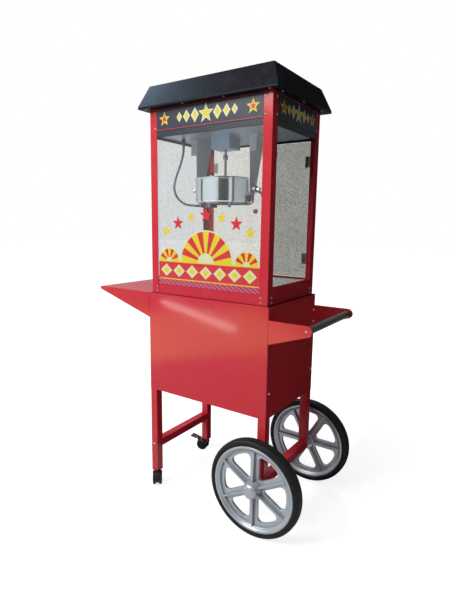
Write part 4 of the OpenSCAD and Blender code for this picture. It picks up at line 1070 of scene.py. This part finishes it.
def make_fin():
    """A thin fin along one spoke, lower at its rim end."""
    let_go()
    bpy.ops.mesh.primitive_cube_add(size=1, location=(FIN_MIDDLE, 0, 0))
    fin = bpy.context.object
    fin.scale = FIN_SIZE
    bake_place()
    pick(fin, "VERT", lambda point: point.co.x > FIN_MIDDLE)
    bpy.ops.transform.resize(value=(1, FIN_TAPER, 1))
    done(fin)
    soften(fin, finishes["wheel_plastic"], 1.2 * MM, 2)
    return fin


def make_wheel(end, side, first):
    """One wheel and its cap."""
    centre = wheel_centre[end]

    def spun(name, rows, steps):
        points = [centre + Vector((0, side * y * MM, r * MM)) for r, y in rows]
        piece = turned(name, points, centre, AXLE_WAY, steps)
        soften(piece, finishes["wheel_plastic"], 0.0)
        return piece

    rim = spun("rim", rim_section + rim_section[:1], RIM_STEPS)
    hub = spun("hub", hub_section + hub_section[:1], HUB_STEPS)
    cap = spun("dressed_hub_cap_" + end, cap_section, CAP_STEPS)
    fins = round_wheel(make_fin(), centre, first)
    wheel = join([rim, hub, make_web(centre, first)] + fins, "dressed_wheel_" + end)
    smooth(wheel)
    settle(wheel, "wheel_" + end, "wheel_plastic", "wheel_" + end)
    settle(cap, "wheel_" + end, "wheel_plastic", "hub_cap_" + end)
    return wheel


for end, side, first in (("front", -1, 30), ("rear", 1, 0)):
    wheel = make_wheel(end, side, first)
    print(wheel.name, len(wheel.data.polygons), "faces")

# %% [markdown]
# Kettle
# The steel pot tilts on two trunnions between its hangers and has two flat lids with a bar between
# them. The gear box and motor above it turn the stirrer. All are copies with fine rounded edges. The
# lids' knobs are given black plastic and the lever's rod dark zinc, each by its place.

# %% Kettle and drive
LID_KNOB = 10 * MM
LEVER_GRIP = 64 * MM
# The pot's light bluish steel is a painted sky reflection.
dress("kettle", 0.5 * MM, 2, finishes["kettle_steel"])
dress("kettle_heater", 0.8 * MM)
# The hangers' white is a painted reflection on their steel.
dress("kettle_hangers", 0.6 * MM, 2, finishes["bright_sheet"])
# The motor housing's blue tint is a painted sky reflection.
dress("drive_motor", 1.5 * MM, 3, finishes["grey_cast"])
dress("drive_shaft", 0.4 * MM)
dress("stirrer", 0.4 * MM)
knob_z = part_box("lid_front")[1].z - LID_KNOB
for lid_node in ("lid_front", "lid_rear"):
    lid = dress(lid_node, 0.3 * MM)
    second_finish(lid, finishes["black_plastic"], lambda face: face.center.z > knob_z)
lever = dress("kettle_lever", 1.0 * MM, 3)
grip_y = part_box("kettle_lever")[1].y - LEVER_GRIP
second_finish(lever, finishes["screw"], lambda face: face.center.y < grip_y)
print("kettle dressed")

# %% [markdown]
# Lamp
# A pear-shaped bulb hangs from a porcelain socket and lights the corn. The CAD holds both as one
# solid. Here each is turned from its own section, so the bulb is smooth and the socket has its ring.

# %% Lamp
BULB_STEPS = 48
SOCKET_STEPS = 40
lamp_axis = at(140, 10, 0)
bulb_rows = [
    (0.0, 1259.2), (5.0, 1259.6), (11.0, 1261.6), (17.0, 1265.6), (22.0, 1271.4),
    (25.4, 1278.4), (26.8, 1286.0), (26.4, 1293.0), (24.4, 1300.4), (21.0, 1307.6),
    (17.0, 1314.0), (14.2, 1319.4), (13.0, 1324.0), (12.8, 1328.6),
]
socket_rows = [
    (0.0, 1327.6), (12.6, 1327.4), (14.2, 1328.2), (14.8, 1330.0), (14.8, 1336.0), (13.8, 1337.2),
    (13.8, 1339.0), (14.9, 1340.2), (14.9, 1352.0), (14.6, 1354.2), (13.8, 1354.9), (0.0, 1354.9),
]


def lathe_upright(name, rows, steps):
    """A piece turned round the lamp's axis from rows of radius and height in millimetres."""
    points = [lamp_axis + Vector((r * MM, 0, z * MM)) for r, z in rows]
    return turned(name, points, lamp_axis, (0, 0, 1), steps)


bulb = lathe_upright("lamp_bulb", bulb_rows, BULB_STEPS)
soften(bulb, finishes["bulb"], 0.0)
settle(bulb, "cart", "bulb", "lamp")
socket = lathe_upright("lamp_socket", socket_rows, SOCKET_STEPS)
soften(socket, finishes["socket"], 0.0)
settle(socket, "cart", None)
print("lamp made", len(bulb.data.polygons) + len(socket.data.polygons), "faces")

# %% [markdown]
# Doors, hinges and switches
# The fittings at the back are zinc hinges, black knobs and three rocker switches. They are copies
# with soft edges, and the knobs take black plastic by how far they stand out.

# %% Doors, hinges and switches
HINGE_DEPTH = 6.2 * MM
knob_reach = {
    "storage_door_fittings": 22 * MM,
    "left_door_fittings": 18 * MM,
    "right_door_fittings": 18 * MM,
}
dress("hinge_leaves", 0.3 * MM)
for fitting_node, reach in knob_reach.items():
    fitting = dress(fitting_node, 0.5 * MM)
    knob_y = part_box(fitting_node)[1].y - reach + HINGE_DEPTH
    second_finish(fitting, finishes["black_plastic"], lambda face: face.center.y > knob_y)
dress("rocker_heat", 0.6 * MM, 2, finishes["red_switch"])
dress("rocker_stir", 0.6 * MM, 2)
dress("rocker_lamp", 0.6 * MM, 2)
print("fittings dressed")

# %% [markdown]
# Screws
# Pan-head screws hold the posts, and a row of them shows under the eaves. The heads on the posts are
# the CAD's own, so their outer faces are inset and pushed in for the driver's socket. The ones under
# the eaves are too small for the CAD: one is modelled here and copied along the edge.

# %% Screws
SOCKET_RIM = 1.5 * MM
SOCKET_DEPTH = 0.8 * MM
ROUND_FACE = 8
HEAD_EDGE = 0.35 * MM
HEAD_Z = 1440.1
screws = copy_node("cabinet_screws")
cabinet_low, cabinet_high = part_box("corner_posts")


def outer_head(face):
    """The round face of a screw head that looks away from the cabinet."""
    middle = face.center
    outside = middle.x > cabinet_high.x or middle.x < cabinet_low.x
    outside = outside or middle.y > cabinet_high.y or middle.y < cabinet_low.y
    return outside and len(face.vertices) > ROUND_FACE


def sink_sockets(piece, test):
    """Insets the chosen faces and pushes them in."""
    pick(piece, "FACE", test)
    bpy.ops.mesh.inset(thickness=SOCKET_RIM, use_individual=True)
    bpy.ops.mesh.extrude_region_shrink_fatten(TRANSFORM_OT_shrink_fatten={"value": -SOCKET_DEPTH})
    done(piece)


sink_sockets(screws, outer_head)
soften(screws, finishes["screw"], HEAD_EDGE)
settle(screws, "cart", "zinc", "cabinet_screws")
eave_places = [(x, y) for x in (-249, -83, 83, 249) for y in (-195, 195)]
eave_places += [(x, y) for x in (-266, 266) for y in (-147, 0, 147)]
let_go()
bpy.ops.mesh.primitive_cylinder_add(vertices=14, radius=3.2 * MM, depth=2.0 * MM)
first_head = bpy.context.object
sink_sockets(first_head, lambda face: face.normal.z < -FACING)
heads = copies(first_head, [Matrix.Translation(at(x, y, HEAD_Z)) for x, y in eave_places])
eave_screws = join(heads, "eave_screws")
soften(eave_screws, finishes["screw"], HEAD_EDGE)
settle(eave_screws, "cart", "zinc")
print("screws", len(screws.data.polygons), "and", len(eave_places), "under the eaves")

# %% [markdown]
# Printed film
# The glass and the signs carry bright film in red, yellow and cream. It could be painted on in a
# shader, but thin plates keep crisp edges at any distance, so film is modelled, and only its colour,
# its faint fade and the strands of its rope band are made here.

# %% Film colours
PRINT_SHINE = 0.22
FILM_GRAIN = 260.0
STRAND_SLANT = 1.6


def film(name, colour, faded):
    """Printed film with a faint fade and a soft gloss."""
    return moulded(name, colour, faded, 0.30, 240.0, 0.00002, 0.5, PRINT_SHINE)


def rope_film(name, dark, light, per_metre):
    """A band of slanted strands, like a printed rope."""
    material, start, place = new_finish(name)
    x = start.node("ShaderNodeSeparateXYZ", {}, {0: place}, "X")
    z = start.node("ShaderNodeSeparateXYZ", {}, {0: place}, "Z")
    strand = start.math("PINGPONG", (x + z * STRAND_SLANT) * per_metre, 0.5)
    grain = place.noise(FILM_GRAIN)
    skin(start, {
        "Base Color": strand.spread(0.10, 0.34).mix(dark, light),
        "Roughness": 0.28 + grain * 0.12, "Specular IOR Level": PRINT_SHINE,
        "Normal": bumped(start, grain, 0.00002, 0.4),
    })
    return material


film_red = film("film_red", (0.62, 0.030, 0.045), (0.58, 0.060, 0.060))
film_yellow = film("film_yellow", (0.74, 0.58, 0.025), (0.70, 0.56, 0.07))
film_cream = film("film_cream", (0.66, 0.70, 0.40), (0.62, 0.66, 0.48))
rope = rope_film("film_rope", (0.34, 0.036, 0.080), (0.56, 0.11, 0.19), 44.0)
print("film colours ready")

# %% [markdown]
# Flat shapes
# The motifs are plain fans, lozenges, stars and bands. Each could be drawn as a curve, but a disc or
# a plane that is shaped in edit mode and given the thickness of film is quicker. A shape is modelled
# once at the origin, moved out by the layers under it, and copied to all its places.

# %% Flat shapes
FILM = 0.25 * MM
LAYER_STEP = 0.2 * MM
FRONT = 0.0
RIGHT = math.pi / 2
LEFT = -math.pi / 2
STAR_WAIST = 0.42
FAN_RIM = 10
HEART_SHARE = 0.64
HEART_SIDES = 32


def sized(piece, width, height):
    """Gives an upright flat shape of unit size its width and height in millimetres."""
    bake_place()
    pick_all(piece)
    size = (width * MM, width * MM, height * MM)
    bpy.ops.transform.resize(value=size, center_override=(0, 0, 0))
    return done(piece)


def disc(sides, width, height, facing, fill="NGON"):
    """A flat disc of so many sides that stands upright at the origin."""
    let_go()
    angles = (math.pi / 2, 0, facing)
    bpy.ops.mesh.primitive_circle_add(
        vertices=sides, radius=0.5, fill_type=fill, location=(0, 0, 0), rotation=angles
    )
    return sized(bpy.context.object, width, height)


def half_disc(sides, size, fill="NGON"):
    """The upper half of a disc that faces the front."""
    piece = disc(sides, size, size, FRONT, fill)
    pick(piece, "FACE", lambda face: True)
    bpy.ops.mesh.bisect(plane_co=(0, 0, 0), plane_no=(0, 0, 1), clear_inner=True)
    return done(piece)


def set_film(piece, places, facing, finish=None, layer=1):
    """Gives a flat shape the thickness of film, on its layer, and copies it to its places."""
    outward = Vector((math.sin(facing), -math.cos(facing), 0))
    pick(piece, "FACE", lambda face: True)
    bpy.ops.transform.translate(value=outward * LAYER_STEP * (layer - 1))
    done(piece)
    if finish:
        piece.data.materials.append(finish)
    solid = piece.modifiers.new("film", "SOLIDIFY")
    solid.thickness = FILM
    solid.offset = 1.0
    bpy.ops.object.modifier_apply(modifier=solid.name)
    return copies(piece, [Matrix.Translation(place) for place in places])


def lozenge(width, height, places, facing, finish, layer=1):
    """A diamond."""
    return set_film(disc(4, width, height, facing), places, facing, finish, layer)


def star(size, places, facing, finish, layer=1):
    """A five-pointed star: a ten-sided disc with every other corner pulled in."""
    piece = disc(10, size, size, facing)
    pick(piece, "VERT", lambda point: point.index % 2 == 1)
    bpy.ops.transform.resize(value=[STAR_WAIST] * 3, center_override=(0, 0, 0))
    done(piece)
    return set_film(piece, places, facing, finish, layer)


def band(width, height, places, facing, finish):
    """A rectangle, from a plane."""
    let_go()
    angles = (math.pi / 2, 0, facing)
    bpy.ops.mesh.primitive_plane_add(size=1.0, location=(0, 0, 0), rotation=angles)
    return set_film(sized(bpy.context.object, width, height), places, facing, finish)


def fan(radius, places, wedges):
    """A half disc of yellow and red wedges, with a cream backing and a cream heart."""
    made = set_film(half_disc(4 * wedges, 2 * radius + FAN_RIM), places, FRONT, film_cream)
    piece = half_disc(4 * wedges, 2 * radius, "TRIFAN")
    piece.data.materials.append(film_yellow)
    piece.data.materials.append(film_red)
    for face in piece.data.polygons:
        turn_share = math.atan2(face.center.z, face.center.x) / math.pi
        face.material_index = int(turn_share * wedges) % 2
    made += set_film(piece, places, FRONT, layer=2)
    heart = half_disc(HEART_SIDES, radius * HEART_SHARE)
    return made + set_film(heart, places, FRONT, film_cream, 3)


print("flat shapes ready")

# %% [markdown]
# Film on the front glass
# A rope band runs along the sill, above it a red band between yellow lines with a row of lozenges,
# and three half-round fans stand on the band under an arc of stars. It could lie inside the glass,
# but the outer face keeps it clear of the pane's mirror.

# %% Film on the front glass
GLASS_Y = -172.0
CLEAR_W = 433.0
BAND_Z = 876.4
FAN_Z = 910


def on_glass(x, z):
    """A point on the outer face of the front glass."""
    return at(x, GLASS_Y, z)


trim = band(CLEAR_W, 21, [on_glass(0, 832.5)], FRONT, rope)
trim += band(CLEAR_W, 3.5, [on_glass(0, 844.7), on_glass(0, 908.2)], FRONT, film_yellow)
trim += band(CLEAR_W, 60, [on_glass(0, BAND_Z)], FRONT, film_red)
lozenge_row = [on_glass(x, BAND_Z) for x in range(-180, 181, 60)]
trim += lozenge(54, 46, lozenge_row, FRONT, film_cream, 2)
trim += lozenge(28, 24, lozenge_row, FRONT, film_yellow, 3)
trim += fan(109, [on_glass(0, FAN_Z)], 13)
trim += fan(45, [on_glass(-165.5, FAN_Z), on_glass(165.5, FAN_Z)], 9)
trim += star(56, [on_glass(0, 1074)], FRONT, film_red)
for size, x, z, finish in (
    (44, 178, 1018, film_yellow), (52, 124, 1046, film_red), (40, 64, 1066, film_yellow),
):
    trim += star(size, [on_glass(-x, z), on_glass(x, z)], FRONT, finish)
glass_film = join(trim, "glass_film")
smooth(glass_film)
settle(glass_film, "cart", None)
print("glass film", len(glass_film.data.polygons), "faces")

# %% [markdown]
# Film on the signs
# Each sign is slate film with a thin red line along its edge and a row of lozenges that grow to a
# star in the middle, with a star near each end. The three signs differ only in their width and
# their facing, so they share one function instead of three lists of shapes.

# %% Film on the signs
SIGN_MID = 1403.5
SIGN_HALF = 37.5
SIGN_FRONT = 175.5
SIGN_SIDE = 250.5
LINE_INSET = 3.0
LINE_W = 1.8
STAR_INSET = 36
MIDDLE_STAR = (66, 44)
END_STAR = (50, 26)
SLIM = 0.72
CORE = (0.40, 0.56)
FRONT_STEPS = ((46, 48), (82, 42), (113, 34))
SIDE_STEPS = ((40, 44), (70, 34))


def sign_trim(facing, place, width, steps, edges):
    """The film of one sign; place turns a distance along the sign into a point."""
    lines = [place(0, SIGN_MID + edge * (SIGN_HALF - LINE_INSET)) for edge in edges]
    made = band(width, LINE_W, lines, facing, film_red)
    middle = [place(0, SIGN_MID)]
    made += star(MIDDLE_STAR[0], middle, facing, film_cream)
    made += star(MIDDLE_STAR[1], middle, facing, film_yellow, 2)
    for step, tall in steps:
        pair = [place(-step, SIGN_MID), place(step, SIGN_MID)]
        made += lozenge(tall * SLIM, tall, pair, facing, film_cream)
        made += lozenge(tall * CORE[0], tall * CORE[1], pair, facing, film_yellow, 2)
    ends = [place(side * (width / 2 - STAR_INSET), SIGN_MID) for side in (-1, 1)]
    made += star(END_STAR[0], ends, facing, film_yellow)
    made += star(END_STAR[1], ends, facing, film_red, 2)
    return made


signs = sign_trim(FRONT, lambda u, z: at(u, -SIGN_FRONT, z), 433, FRONT_STEPS, (-1, 1))
signs += sign_trim(RIGHT, lambda u, z: at(SIGN_SIDE, u, z), 284, SIDE_STEPS, (1,))
signs += sign_trim(LEFT, lambda u, z: at(-SIGN_SIDE, u, z), 284, SIDE_STEPS, (1,))
sign_film = join(signs, "sign_film")
smooth(sign_film)
settle(sign_film, "cart", None)
print("sign film", len(sign_film.data.polygons), "faces")
